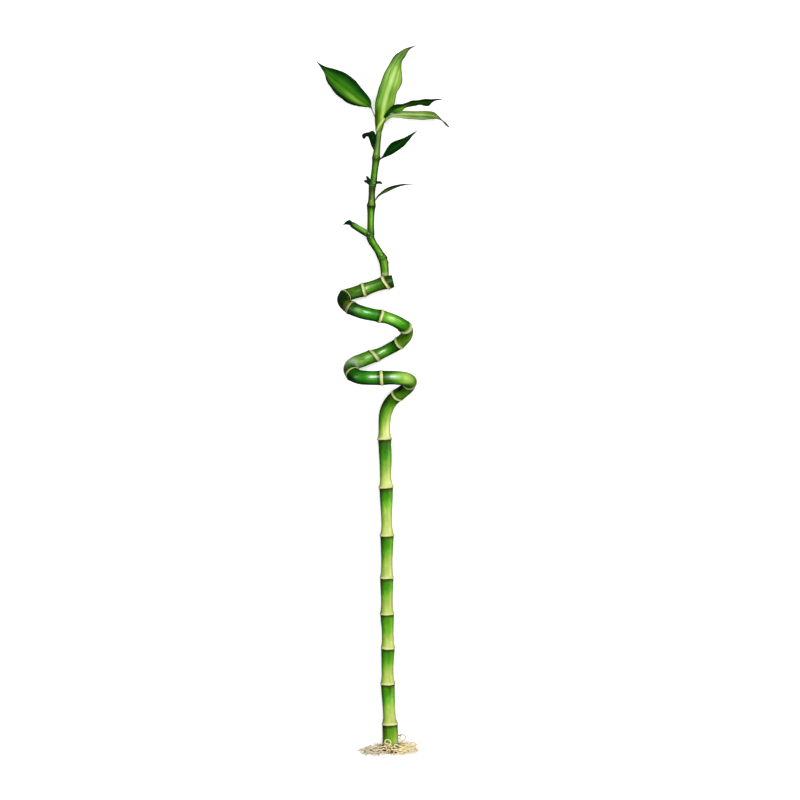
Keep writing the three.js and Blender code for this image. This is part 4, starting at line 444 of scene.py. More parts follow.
class Line:
    """A smooth line with a frame carried along it."""

    def __init__(self, points, step=0.5):
        Q = through(points)
        s = lengths(Q)
        self.length = float(s[-1])
        n = max(40, math.ceil(self.length / step))
        self.s = np.linspace(0, self.length, n + 1)
        self.p = np.stack([np.interp(self.s, s, Q[:, k]) for k in range(3)], 1)
        t = np.empty_like(self.p)
        t[1:-1] = self.p[2:] - self.p[:-2]
        t[0], t[-1] = self.p[1] - self.p[0], self.p[-1] - self.p[-2]
        self.t = unit(t)
        normal = np.array([1.0, 0, 0]) if abs(self.t[0][2]) > 0.9 else np.array([0, 0, 1.0])
        N = []
        for k in range(n + 1):
            normal = unit(normal - self.t[k] * (normal @ self.t[k]))
            N.append(normal)
        self.n = np.array(N)

    def at(self, s):
        f = lambda A: np.stack([np.interp(s, self.s, A[:, k]) for k in range(3)], -1)
        p, t, n = f(self.p), unit(f(self.t)), f(self.n)
        n = unit(n - t * (n * t).sum(-1, keepdims=True))
        return p, t, n, np.cross(n, t)

    def nearest(self, point):
        return float(self.s[np.argmin(np.linalg.norm(self.p - np.asarray(point, float), axis=1))])


def smooth(a, b, x):
    k = np.clip((np.asarray(x, float) - a) / (b - a), 0, 1)
    return k * k * (3 - 2 * k)


def bell(x, at, wide):
    return np.exp(-(((x - at) / wide) ** 2))


def even(table, s, soften=2.0):
    """A table of [place, value] read smoothly."""
    T = np.array(table, float)
    k = np.array([-1.0, -0.5, 0, 0.5, 1.0]) * soften
    w = np.array([1, 3, 4, 3, 1.0])
    return sum(wk * np.interp(s + kk, T[:, 0], T[:, 1]) for kk, wk in zip(k, w)) / w.sum()


def wavy(a, b, seed, octaves=3):
    """Smooth made-up unevenness between -1 and 1 over two running coordinates."""
    r = np.random.default_rng(seed)
    out = np.zeros(np.broadcast(a, b).shape)
    for o in range(octaves):
        for _ in range(4):
            fa, fb = r.normal(0, 1, 2) * (1.7**o)
            out = out + np.sin(a * fa + b * fb + r.uniform(0, 6.28)) / (4 * 1.5**o)
    return np.clip(out, -1, 1)


class Skin:
    """A closed skin of rings: points, named numbers at them, and faces."""

    def __init__(self):
        self.P, self.F, self.A = [], [], {}
        self.count = 0

    def rings(self, P, **attributes):
        rows, cols = P.shape[:2]
        base = self.count
        pole_a, pole_b = P[0].mean(0), P[-1].mean(0)
        self.P += [P.reshape(-1, 3), pole_a[None], pole_b[None]]
        for name, v in attributes.items():
            v = np.asarray(v, float)
            width = v.shape[2] if v.ndim == 3 else 1
            v = np.broadcast_to(v if v.ndim == 3 else v[..., None], (rows, cols, width))
            self.A.setdefault(name, []).append(np.vstack([v.reshape(-1, width), v[0].mean(0)[None], v[-1].mean(0)[None]]))
        i, j = np.meshgrid(np.arange(rows - 1), np.arange(cols), indexing="ij")
        k = (j + 1) % cols
        quads = np.stack([i * cols + j, i * cols + k, (i + 1) * cols + k, (i + 1) * cols + j], -1).reshape(-1, 4) + base
        j = np.arange(cols)
        k = (j + 1) % cols
        a, b = base + rows * cols, base + rows * cols + 1
        faces = [quads.tolist(), np.stack([np.full(cols, a), k, j], 1), np.stack([np.full(cols, b), (rows - 1) * cols + j, (rows - 1) * cols + k], 1)]
        faces[1][:, 1:] += base
        faces[2][:, 1:] += base
        faces = faces[0] + faces[1].tolist() + faces[2].tolist()
        V = np.vstack([P.reshape(-1, 3), pole_a[None], pole_b[None]])
        v0, v1, v2, v3 = (V[quads[:, q] - base] for q in range(4))
        volume = (v0 * np.cross(v1, v2)).sum() + (v0 * np.cross(v2, v3)).sum()
        if volume < 0:
            faces = [f[::-1] for f in faces]
        self.F += faces
        self.count += len(V)
        return self

    def build(self, name, node, slot, material):
        P = (np.vstack(self.P) - ORIGIN) / 1000
        mesh = bpy.data.meshes.new(name)
        mesh.from_pydata(P.tolist(), [], self.F)
        mesh.polygons.foreach_set("use_smooth", np.ones(len(self.F), bool))
        for key, parts in self.A.items():
            v = np.vstack(parts).astype(np.float32)
            kind = "FLOAT_VECTOR" if v.shape[1] == 3 else "FLOAT"
            layer = mesh.attributes.new(key, kind, "POINT")
            layer.data.foreach_set("vector" if kind == "FLOAT_VECTOR" else "value", v.ravel())
        mesh.update()
        mesh.materials.append(material)
        o = bpy.data.objects.new(name, mesh)
        bpy.context.scene.collection.objects.link(o)
        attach(o, "root")
        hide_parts(node)
        return o


def outward(P):
    """Unit normals of a grid of rings, pointing out."""
    along = np.gradient(P, axis=0)
    round_ = (np.roll(P, -1, 1) - np.roll(P, 1, 1)) / 2
    n = unit(np.cross(round_, along))
    centre = P.mean(1, keepdims=True)
    if ((P - centre) * n).sum() < 0:
        n = -n
    return n


# ------------------------------------------------------------------ materials


def colour(r, g, b):
    f = lambda c: c / 12.92 if c <= 0.04045 else ((c + 0.055) / 1.055) ** 2.4
    return (f(r / 255), f(g / 255), f(b / 255), 1.0)


class Shader:
    def __init__(self, name):
        self.m = bpy.data.materials.new(name)
        self.m.use_nodes = True
        self.t = self.m.node_tree
        self.t.nodes.clear()
        self.out = self.t.nodes.new("ShaderNodeOutputMaterial")
        self.bsdf = self.t.nodes.new("ShaderNodeBsdfPrincipled")
        self.t.links.new(self.bsdf.outputs[0], self.out.inputs[0])

    def put(self, socket, value):
        if isinstance(value, bpy.types.NodeSocket):
            self.t.links.new(value, socket)
        else:
            socket.default_value = value

    def attr(self, name, vector=False):
        n = self.t.nodes.new("ShaderNodeAttribute")
        n.attribute_name = name
        return n.outputs["Vector" if vector else "Fac"]

    def math(self, op, a, b=0.0, c=0.0, clamp=False):
        n = self.t.nodes.new("ShaderNodeMath")
        n.operation = op
        n.use_clamp = clamp
        for s, v in zip(n.inputs, (a, b, c)):
            self.put(s, v)
        return n.outputs[0]

    def mul(self, a, b, **k):
        return self.math("MULTIPLY", a, b, **k)

    def add(self, a, b, **k):
        return self.math("ADD", a, b, **k)

    def span(self, v, a, b, c=0.0, d=1.0, soft=True):
        n = self.t.nodes.new("ShaderNodeMapRange")
        n.interpolation_type = "SMOOTHSTEP" if soft else "LINEAR"
        for s, x in zip(n.inputs, (v, a, b, c, d)):
            self.put(s, x)
        return n.outputs[0]

    def stretch(self, vector, by, offset=(0, 0, 0)):
        n = self.t.nodes.new("ShaderNodeMapping")
        self.put(n.inputs["Vector"], vector)
        n.inputs["Scale"].default_value = by
        n.inputs["Location"].default_value = offset
        return n.outputs[0]

    def noise(self, vector, scale=1.0, detail=3.0, rough=0.55, warp=0.0):
        n = self.t.nodes.new("ShaderNodeTexNoise")
        self.put(n.inputs["Vector"], vector)
        n.inputs["Scale"].default_value = scale
        n.inputs["Detail"].default_value = detail
        n.inputs["Roughness"].default_value = rough
        n.inputs["Distortion"].default_value = warp
        return n.outputs["Fac"] if "Fac" in n.outputs else n.outputs[0]

    def cells(self, vector, scale=1.0, kind="F1"):
        n = self.t.nodes.new("ShaderNodeTexVoronoi")
        n.feature = kind
        self.put(n.inputs["Vector"], vector)
        n.inputs["Scale"].default_value = scale
        return n.outputs["Distance"]

    def ramp(self, fac, stops):
        n = self.t.nodes.new("ShaderNodeValToRGB")
        n.color_ramp.interpolation = "EASE"
        e = n.color_ramp.elements
        while len(e) < len(stops):
            e.new(0.5)
        for x, (at, c) in zip(e, stops):
            x.position = at
            x.color = colour(*c)
        self.put(n.inputs[0], fac)
        return n.outputs[0]

    def mix(self, fac, a, b, how="MIX"):
        n = self.t.nodes.new("ShaderNodeMix")
        n.data_type = "RGBA"
        n.blend_type = how
        n.clamp_factor = True
        self.put(n.inputs[0], fac)
        ins = [s for s in n.inputs if s.type == "RGBA"]
        self.put(ins[0], a)
        self.put(ins[1], b)
        return next(s for s in n.outputs if s.type == "RGBA")

    def bump(self, height, strength, distance, under=None):
        n = self.t.nodes.new("ShaderNodeBump")
        n.inputs["Strength"].default_value = strength
        n.inputs["Distance"].default_value = distance
        self.put(n.inputs["Height"], height)
        if under is not None:
            self.put(n.inputs["Normal"], under)
        return n.outputs[0]

    def done(self, base, rough, normal=None, specular=0.5, coat=0.0, coat_rough=0.2, sheen=0.0):
        b = self.bsdf.inputs
        self.put(b["Base Color"], base)
        self.put(b["Roughness"], rough)
        b["Specular IOR Level"].default_value = specular
        self.put(b["Coat Weight"], coat)
        b["Coat Roughness"].default_value = coat_rough
        b["Sheen Weight"].default_value = sheen
        if normal is not None:
            self.put(b["Normal"], normal)
        return self.m


GREEN = [(0.0, (3, 20, 1)), (0.15, (7, 49, 2)), (0.3, (18, 87, 3)), (0.45, (38, 126, 5)), (0.6, (86, 163, 26)), (0.75, (138, 192, 66)), (0.9, (174, 212, 92)), (1.0, (204, 226, 130))]
WARM = [(0.0, (12, 20, 2)), (0.15, (34, 56, 3)), (0.3, (60, 94, 12)), (0.45, (96, 136, 26)), (0.6, (139, 166, 62)), (0.75, (173, 188, 96)), (0.9, (198, 208, 118)), (1.0, (218, 222, 146))]
CREAM = [(0.0, (150, 146, 84)), (0.4, (198, 198, 132)), (1.0, (216, 220, 164))]
SOOT = [(0.0, (12, 20, 2)), (0.6, (30, 44, 5)), (1.0, (58, 66, 16))]


def stem_skin(name, coat, tints=()):
    """Waxy living stem: tone gives how pale it is, warm how yellow, cream and dark the rings at its nodes."""
    s = Shader(name)
    at = s.attr("at", True)  # around, around, along, in mm
    streak = s.noise(s.stretch(at, (1.1, 1.1, 0.09)), 1.0, 4.0, 0.6)
    fine = s.noise(s.stretch(at, (4.6, 4.6, 0.28), (3, 7, 1)), 1.0, 3.0, 0.6)
    patch = s.noise(s.stretch(at, (0.19, 0.19, 0.13), (9, 2, 5)), 1.0, 3.0, 0.5, 0.6)
    speck = s.noise(s.stretch(at, (2.4, 2.4, 1.7), (4, 4, 8)), 1.0, 2.0, 0.5)
    tone = s.add(s.attr("tone"), s.mul(s.math("SUBTRACT", streak, 0.5), 0.20))
    tone = s.add(tone, s.mul(s.math("SUBTRACT", fine, 0.5), 0.11))
    tone = s.add(tone, s.mul(s.math("SUBTRACT", patch, 0.5), 0.16), clamp=True)
    base = s.mix(s.attr("warm"), s.ramp(tone, GREEN), s.ramp(tone, WARM))
    # small corky dots
    dots = s.math("SUBTRACT", 1.0, s.span(s.cells(s.stretch(at, (0.42, 0.42, 0.24), (2, 1, 0)), 1.0), 0.03, 0.10))
    base = s.mix(s.mul(dots, s.span(patch, 0.42, 0.6, 0.0, 0.5)), base, colour(96, 108, 34))
    for tint, c, low, high in tints:
        base = s.mix(s.mul(s.attr(tint), s.span(speck, low, high)), base, colour(*c))
    ring = s.math("MULTIPLY", s.attr("cream"), s.span(speck, 0.12, 0.42, 0.72, 1.0))
    base = s.mix(ring, base, s.ramp(s.add(s.mul(fine, 0.7), s.mul(speck, 0.45)), CREAM))
    soot = s.math("MULTIPLY", s.attr("dark"), s.span(streak, 0.2, 0.5, 0.7, 1.0))
    base = s.mix(soot, base, s.ramp(speck, SOOT))
    # the sawn ends: pale wood with darker bundles and a brown rind
    core = s.cells(s.stretch(at, (1.5, 1.5, 0.0)), 1.0)
    wood = s.mix(s.span(core, 0.12, 0.3), colour(150, 128, 74), colour(206, 192, 138))
    rind = s.mix(s.span(s.attr("radial"), 0.80, 0.93), wood, colour(92, 84, 34))
    base = s.mix(s.attr("sawn"), base, rind)
    rough = s.add(s.mul(speck, 0.16), s.add(s.mul(s.attr("cream"), 0.18), s.mul(s.attr("dark"), 0.16)))
    rough = s.add(s.add(rough, s.mul(s.attr("sawn"), 0.3)), 0.27, clamp=True)
    height = s.add(s.mul(streak, 0.6), s.add(s.mul(fine, 0.45), s.mul(dots, 0.5)))
    height = s.add(height, s.mul(s.mul(s.attr("cream"), speck), 0.8))
    wax = s.add(s.mul(s.attr("gloss"), s.span(patch, 0.25, 0.55, 0.65, 1.0)), coat, clamp=True)
    return s.done(base, rough, s.bump(height, 0.35, 0.00012), specular=0.03, coat=wax, coat_rough=0.24)


LEAF = [(0.0, (3, 18, 3)), (0.14, (8, 44, 7)), (0.3, (22, 80, 11)), (0.45, (56, 118, 22)), (0.6, (100, 152, 54)), (0.78, (154, 192, 100)), (0.9, (196, 222, 150)), (1.0, (226, 240, 196))]
LEAF_WARM = [(0.0, (12, 14, 3)), (0.14, (34, 40, 6)), (0.3, (70, 84, 10)), (0.45, (104, 130, 22)), (0.6, (138, 168, 48)), (0.78, (174, 200, 88)), (0.9, (206, 222, 132)), (1.0, (232, 238, 176))]


def leaf_skin(name, rough_at=0.36, coat=0.0):
    """A waxy blade with fine parallel veins: tone, warm, and grey for what has dried."""
    s = Shader(name)
    at = s.attr("at", True)  # across, along, side, in mm
    vein = s.noise(s.stretch(at, (2.6, 0.045, 1.0)), 1.0, 3.0, 0.6)
    hair = s.noise(s.stretch(at, (7.5, 0.10, 1.0), (1, 5, 0)), 1.0, 2.0, 0.5)
    patch = s.noise(s.stretch(at, (0.22, 0.09, 1.0), (3, 3, 0)), 1.0, 3.0, 0.5, 0.4)
    grain = s.noise(s.stretch(at, (5.0, 1.6, 1.0), (8, 1, 0)), 1.0, 2.0, 0.5)
    reach = s.add(s.mul(s.attr("tone"), 0.75), 0.35)
    tone = s.add(s.attr("tone"), s.mul(s.mul(s.math("SUBTRACT", vein, 0.5), 0.46), reach))
    tone = s.add(tone, s.mul(s.mul(s.math("SUBTRACT", hair, 0.5), 0.22), reach))
    tone = s.add(tone, s.mul(s.mul(s.math("SUBTRACT", patch, 0.5), 0.20), reach), clamp=True)
    base = s.mix(s.attr("warm"), s.ramp(tone, LEAF), s.ramp(tone, LEAF_WARM))
    dry = s.ramp(s.add(tone, s.mul(s.math("SUBTRACT", grain, 0.5), 0.3)), [(0.0, (22, 22, 16)), (0.3, (72, 72, 52)), (0.6, (132, 128, 100)), (1.0, (206, 204, 190))])
    base = s.mix(s.attr("dry"), base, dry)
    rough = s.add(s.mul(grain, 0.16), s.add(s.mul(s.attr("dry"), 0.22), rough_at - 0.08), clamp=True)
    height = s.add(s.mul(vein, 0.9), s.add(s.mul(hair, 0.5), s.mul(grain, 0.2)))
    return s.done(base, rough, s.bump(height, 0.4, 0.00012), specular=0.04, coat=coat, coat_rough=0.25)


def husk_skin(name):
    """Shrivelled, near-black bud and bract tissue."""
    s = Shader(name)
    at = s.attr("at", True)
    fold = s.noise(s.stretch(at, (2.2, 0.35, 1.2)), 1.0, 4.0, 0.62, 0.5)
    grain = s.noise(s.stretch(at, (5.0, 3.0, 5.0), (2, 2, 2)), 1.0, 3.0, 0.6)
    base = s.ramp(s.add(s.mul(fold, 0.62), s.add(s.mul(s.attr("tone"), 0.5), s.mul(s.math("SUBTRACT", grain, 0.5), 0.2)), clamp=True), [(0.0, (3, 12, 4)), (0.38, (6, 27, 8)), (0.62, (13, 46, 16)), (0.82, (46, 84, 40)), (1.0, (104, 116, 84))])
    rough = s.add(s.mul(grain, 0.3), 0.42, clamp=True)
    return s.done(base, rough, s.bump(s.add(fold, s.mul(grain, 0.4)), 0.7, 0.0003), specular=0.08)


def root_skin(name):
    """Damp root skin: browner where it leaves the foot, pale to the tip."""
    s = Shader(name)
    at = s.attr("at", True)
    ring = s.noise(s.stretch(at, (1.1, 1.1, 1.9)), 1.0, 3.0, 0.6)
    patch = s.noise(s.stretch(at, (0.3, 0.3, 0.22), (6, 1, 3)), 1.0, 3.0, 0.55)
    grain = s.noise(s.stretch(at, (6.0, 6.0, 3.2), (1, 9, 4)), 1.0, 2.0, 0.6)
    f = s.add(s.attr("tone"), s.add(s.mul(s.math("SUBTRACT", patch, 0.5), 0.55), s.mul(s.math("SUBTRACT", ring, 0.5), 0.3)), clamp=True)
    cold = s.ramp(f, [(0.0, (44, 29, 16)), (0.25, (104, 80, 52)), (0.5, (162, 137, 102)), (0.75, (206, 187, 150)), (1.0, (232, 220, 192))])
    hot = s.ramp(f, [(0.0, (66, 34, 14)), (0.25, (158, 114, 62)), (0.5, (216, 182, 118)), (0.75, (238, 213, 152)), (1.0, (246, 232, 186))])
    base = s.mix(s.attr("warm"), cold, hot)
    base = s.mix(s.attr("stain"), base, s.ramp(grain, [(0.0, (44, 16, 8)), (1.0, (120, 66, 40))]))
    rough = s.add(s.mul(grain, 0.25), 0.42, clamp=True)
    return s.done(base, rough, s.bump(s.add(ring, s.mul(grain, 0.5)), 0.5, 0.00012), specular=0.1)


# the bloom_and_highlight tint: on the cane a painted highlight and painted reflection, on the shoot a grey bloom
CANE_SKIN = stem_skin("cane_skin", 0.02, [("earth", (104, 54, 28), 0.24, 0.46), ("rust", (150, 134, 44), 0.44, 0.62), ("bloom_and_highlight", (184, 206, 162), 0.22, 0.60)])
SHOOT_SKIN = stem_skin("shoot_skin", 0.01, [("pink", (196, 160, 132), 0.3, 0.62), ("bloom_and_highlight", (110, 120, 76), 0.28, 0.66)])
DARK_LEAF = leaf_skin("dark_leaf", 0.42, 0.0)
PALE_LEAF = leaf_skin("pale_leaf", 0.46, 0.0)
THIN_LEAF = leaf_skin("thin_leaf", 0.5, 0.0)
HUSK = husk_skin("dried_leaf")
ROOT = root_skin("root_fibre")

# ------------------------------------------------------------------ stems

# direction of the light that the painted shade and painted light below are worked out from
SUN = unit(np.array([0.34, 0.22, 0.92]))


def stem(line, radius, nodes, spans, sides, ends, fine=0.3, coarse=1.6, seed=1, shape=None, sun=SUN, shade=(0.42, -0.05, 0.8), lumps=(), spots=(), rough=0.05):
    """Rings along a line, flared into thin lips at its nodes.
    nodes: [place, ring radius, cream width, cream strength, dark below, dark above]. spans: (tone at the bottom, middle and top, warmth) for each
    stretch between nodes, one more than there are nodes. lumps: (point, reach, height). spots: (point, reach, height, cream, dark rim)."""
    L = line.length
    stops = set(np.linspace(0, L, max(3, int(L / coarse))).tolist())
    for n in nodes:
        wide = float(np.linalg.norm(n[6])) if len(n) > 6 else 0.0
        stops |= set((n[0] + np.arange(-4.2 - wide, 5.4 + wide, fine)).tolist())
    for p in list(lumps) + list(spots):
        c = line.nearest(p[0])
        stops |= set((c + np.arange(-p[1] * 1.7, p[1] * 1.7, 0.3)).tolist())
    s = np.array(sorted(x for x in stops if 0.25 <= x <= L - 0.25))
    keep = [s[0]]
    for x in s[1:]:
        if x - keep[-1] > fine * 0.6:
            keep.append(x)
    s = np.array(keep)
    scale, sawn = np.ones(len(s)), np.zeros(len(s))
    # the ends: a sawn face or a rounded tip
    for end in (0, 1):
        at = 0.0 if end == 0 else L
        if ends[end] == "sawn":
            extra = [(0.16, 0.995, 0.0), (0.03, 0.965, 0.25), (0.0, 0.93, 1.0), (0.03, 0.8, 1.0), (0.07, 0.6, 1.0), (0.09, 0.35, 1.0), (0.10, 0.12, 1.0)]
        else:
            extra = [(0.20, 0.97, 0.0), (0.12, 0.86, 0.0), (0.05, 0.62, 0.0), (0.0, 0.28, 0.0)]
        if end == 0:
            extra = extra[::-1]
        e = np.array([[at + d * (1 if end == 0 else -1), k, w] for d, k, w in extra])
        join = (lambda a, b: np.concatenate([b, a])) if end == 0 else (lambda a, b: np.concatenate([a, b]))
        s, scale, sawn = join(s, e[:, 0]), join(scale, e[:, 1]), join(sawn, e[:, 2])
    phi = np.linspace(0, 2 * np.pi, sides, endpoint=False)
    S, F = np.meshgrid(s, phi, indexing="ij")
    rng = np.random.default_rng(seed)
    base = radius(s)[:, None] * np.ones_like(F)
    lift = np.zeros_like(F)
    cream, dark = np.zeros_like(F), np.zeros_like(F)
    edges = [np.full(sides, 0.0)]
    for n in nodes:
        _, _, qn, qb = (x[0] for x in line.at(np.array([n[0]])))
        lean = (qn[None] * np.sin(phi)[:, None] + qb[None] * np.cos(phi)[:, None]) @ np.asarray(n[6] if len(n) > 6 else (0, 0, 0), float)
        at = n[0] + lean + 0.26 * np.sin(phi + rng.uniform(0, 6.28)) + 0.12 * np.sin(2 * phi + rng.uniform(0, 6.28)) + 0.06 * np.sin(5 * phi + rng.uniform(0, 6.28))
        edges.append(at)
        D = S - at[None, :]
        high = max(0.15, n[1] - float(radius(np.array([n[0]]))[0]))
        above = np.where(D < 0.55, 0.66 + 0.34 * smooth(0.0, 0.5, D), np.exp(-np.maximum(D - 0.55, 0) / 2.9))
        below = 0.60 * np.exp(np.minimum(D, 0) / 2.6) - 0.16 * bell(D, -0.35, 0.28)
        shape_ = np.where(D >= 0, above, below) + 0.10 * bell(D, 2.1, 0.35)
        uneven = 1 + 0.12 * wavy(np.cos(F) * 1.5, np.sin(F) * 1.5, seed * 31 + len(edges), 2)
        lift = np.where(np.abs(D) < 14, np.maximum(lift, high * shape_ * uneven), lift)
        jag = 0.22 * wavy(np.cos(F) * 3, np.sin(F) * 3, seed * 17 + len(edges), 3)
        c = smooth(-0.06, 0.10, D) * (1 - smooth(n[2] * 0.38 + jag, n[2] * 1.32 + jag, D))
        cream = np.maximum(cream, c * n[3])
        # dark below: the dark line under each lip, partly the ring's own scar colour, partly painted shade under the
        # lip
        d = (smooth(-4.4, -0.9, D) ** 2 * 0.55 + 0.45 * smooth(-1.35 + jag, -0.7, D)) * (1 - smooth(-0.10, 0.02, D)) * n[4]
        u = smooth(n[2] * 0.8 + jag, n[2] * 1.15 + jag, D) * (1 - smooth(n[2] * 1.2, n[2] * 1.2 + 2.4, D)) * n[5]
        dark = np.maximum(dark, np.maximum(d, u))
    edges.append(np.full(sides, L))
    tone, warm, along = np.zeros_like(F), np.zeros_like(F), np.zeros_like(F)
    for k, (a, m, b, w) in enumerate(spans):
        lo, hi = edges[k][None, :], edges[k + 1][None, :]
        T = np.clip((S - lo) / (hi - lo), 0, 1)
        T = np.clip(T + 0.26 * T * (1 - T) * wavy(np.cos(F) * 1.5 + 2.0 * k, np.sin(F) * 1.5 + S * 0.04, seed * 7 + k, 3), 0, 1)
        inside = (S >= lo) & (S <= hi) if k else (S <= hi)
        mid = np.where(T < 0.45, a + (m - a) * smooth(0, 0.5, T) / 0.972, m + (b - m) * smooth(0.40, 0.95, T))
        tone, warm, along = np.where(inside, mid, tone), np.where(inside, w, warm), np.where(inside, T, along)
    r = base + lift
    r = r * (1 + 0.010 * np.cos(2 * F + S * 0.013) + 0.006 * np.cos(3 * F - S * 0.02)) + rough * wavy(F * 0 + np.cos(F) * 2.2, S * 0.10 + np.sin(F) * 2.0, seed, 3)
    r = r * scale[:, None]
    p, t, n, b = line.at(s)
    around = n[:, None] * np.sin(F)[..., None] + b[:, None] * np.cos(F)[..., None]
    P = p[:, None] + around * r[..., None]
    for point, reach, height in lumps:
        q = np.linalg.norm(P - np.asarray(point), axis=2)
        P = P + around * (height * np.exp(-((q / reach) ** 2)))[..., None]
    for point, reach, height, c, d in spots:
        q = np.linalg.norm(P - np.asarray(point), axis=2)
        P = P + around * (height * (1 - smooth(0.3 * reach, reach, q)) - 0.22 * abs(height) * bell(q, reach * 1.12, reach * 0.2))[..., None]
        cream = np.maximum(cream, c * (1 - smooth(0.20 * reach, 0.75 * reach, q)))
        dark = np.maximum(dark, d * bell(q, reach * 1.02, reach * 0.30))
    if shape is not None:
        P = shape(P, s, phi)
    # painted shade: lit is how far the skin faces the sun direction, and the tone is darkened towards least where it
    # faces away
    lit = (outward(P) * sun).sum(2)
    least = shade[0](S) if callable(shade[0]) else shade[0]
    tone = tone * (least + (1 - least) * smooth(shade[1], shade[2], lit))
    at = np.stack([np.cos(F) * base * 1.0, np.sin(F) * base * 1.0, S], -1)
    at[..., :2] *= scale[:, None, None]
    return P, dict(tone=tone, warm=warm, cream=cream * (1 - sawn[:, None]), dark=dark * (1 - sawn[:, None]), sawn=sawn[:, None] * np.ones_like(F), radial=scale[:, None] * np.ones_like(F), at=at, pink=np.zeros_like(F), gloss=np.full_like(F, 0.0)), S, F, lit, along


# ---- the cane

cane_line = Line(CANE_LINE)
# place and ring radius, then cream width, cream strength, dark below, dark above
CANE_RING = [
    (2.3, 0.95, 0.9, 0.0), (2.2, 0.9, 0.85, 0.0), (2.1, 0.85, 0.8, 0.0), (2.1, 0.85, 0.8, 0.0), (2.1, 0.88, 0.8, 0.0), (2.3, 0.95, 0.8, 0.0), (2.5, 1.0, 0.85, 0.0), (2.7, 1.0, 0.9, 0.0),
    (3.0, 1.0, 0.5, 0.6), (4.6, 0.85, 0.6, 0.2), (2.8, 1.0, 0.35, 0.9), (3.4, 0.75, 0.6, 0.2), (3.2, 0.95, 0.7, 0.3), (3.4, 0.95, 0.6, 0.3), (4.6, 1.0, 0.4, 0.2), (2.8, 1.0, 0.3, 0.95),
    (2.6, 0.48, 0.5, 0.5), (3.6, 1.0, 0.6, 0.5), (2.8, 1.0, 0.6, 0.5), (2.8, 1.0, 0.8, 0.5),
]
# tone at the bottom, middle and top of each stretch, and how yellow it is
CANE_SPAN = [
    (0.50, 0.56, 0.42, 0.75), (0.71, 0.67, 0.41, 0.62), (0.74, 0.64, 0.46, 0.60), (0.76, 0.66, 0.50, 0.58), (0.72, 0.62, 0.42, 0.60), (0.74, 0.65, 0.42, 0.58), (0.80, 0.66, 0.31, 0.56), (0.90, 0.55, 0.33, 0.60),
    (0.88, 0.55, 0.30, 0.54), (0.42, 0.52, 0.67, 0.50), (0.84, 0.84, 0.25, 0.35), (0.38, 0.38, 0.28, 0.04), (0.48, 0.59, 0.46, 0.36), (0.46, 0.42, 0.30, 0.2), (0.74, 0.84, 0.74, 0.55), (0.42, 0.48, 0.58, 0.10),
    (0.38, 0.40, 0.24, 0.05), (0.32, 0.21, 0.23, 0.18), (0.36, 0.37, 0.34, 0.62), (0.46, 0.38, 0.34, 0.55), (0.25, 0.20, 0.17, 0.60),
]
CANE_POLISH = [
    (378, 5.0, 0.40), (387, 4.0, 0.90), (406, 5.0, 1.0), (418.5, 3.5, 1.0), (447.6, 6.0, 0.5), (467, 6.0, 0.7), (480, 3.0, 0.30), (489, 4.5, 0.9),
    (545, 4.0, 0.30), (557, 4.5, 1.0), (581, 4.0, 0.7), (588, 4.0, 1.0), (595, 2.5, 0.5), (655, 3.0, 0.45), (662, 3.0, 0.15),
]
CANE_PAINTED_HIGHLIGHT = [  # painted highlights round the spiral: place, reach, amount, which way it leans
    (386, 4.5, 0.16, 0.30), (406.5, 4.0, 0.10, 0.55), (419, 3.5, 0.12, 0.10), (471, 4.0, 0.12, 0.05), (489, 5.5, 0.12, 0.05),
    (558, 4.5, 0.16, 0.05), (552, 4.0, 0.08, 0.0), (580, 4.0, 0.08, 0.10), (587.5, 3.8, 0.18, 0.10), (593, 3.0, 0.08, 0.1), (655, 3.0, 0.12, 0.0),
]
CANE_TILT[17] = (-2.6, 2.0, -2.6)
CANE_LIP = [0.20, 0.25, 0.05, 0.20, 0.05, 0.45, 0.60, 0.45] + [0.12] * 12  # how far each thin lip stands past its ring
rings = [(a, r + lip, *extra, w) for (a, r), lip, extra, w in zip(CANE_NODES, CANE_LIP, CANE_RING, CANE_TILT)]
eyes = []
rng = np.random.default_rng(5)
for k, (a, r) in enumerate(CANE_NODES):
    # the sleeping bud just above each of the first nine rings, on the sides and the back
    p, t, n, b = cane_line.at(np.array([a + 2.6]))
    turn = math.radians(250 if k % 2 else 290) + rng.uniform(-0.25, 0.25)
    d = n[0] * math.sin(turn) + b[0] * math.cos(turn)
    if k < 9:
        eyes.append((p[0] + d * (r - 0.2), 1.7, 0.75))
# the cane's painted shade: darker still round the spiral than down the straight stalk
P, A, S, F, lit, along = stem(cane_line, lambda s: even(CANE_RADIUS, s, 3.0), rings, CANE_SPAN, 56, ("sawn", "sawn"), fine=0.24, coarse=1.3, seed=3, shade=(lambda s: 0.80 - 0.33 * smooth(300, 350, s) - 0.10 * smooth(630, 645, s), -0.05, 0.75), lumps=eyes, rough=0.07)
P[..., 2] = np.maximum(P[..., 2], 0.01 + ORIGIN[2])
facing = outward(P)
stalk = 1 - smooth(285, 330, S)
# the wax: dull down the stalk's front, brighter down its sides, polished here and there round the spiral
A["gloss"] = 0.015 + stalk * (1 - 0.8 * smooth(0.55, 0.75, along)) * (0.45 * smooth(0.30, 0.62, facing[..., 0]) + 0.25 * smooth(0.35, 0.70, -facing[..., 0]))
# painted highlights: the tone is raised on the tube faces turned toward each leaning direction
for place, reach, amount, lean in CANE_PAINTED_HIGHLIGHT:
    A["tone"] = A["tone"] + amount * bell(S, place, reach) * smooth(0.72, 0.99, (facing * unit(np.array([0.0, lean, 1.0]))).sum(2))
for place, reach, amount in CANE_POLISH:
    A["gloss"] = np.maximum(A["gloss"], amount * bell(S, place, reach))
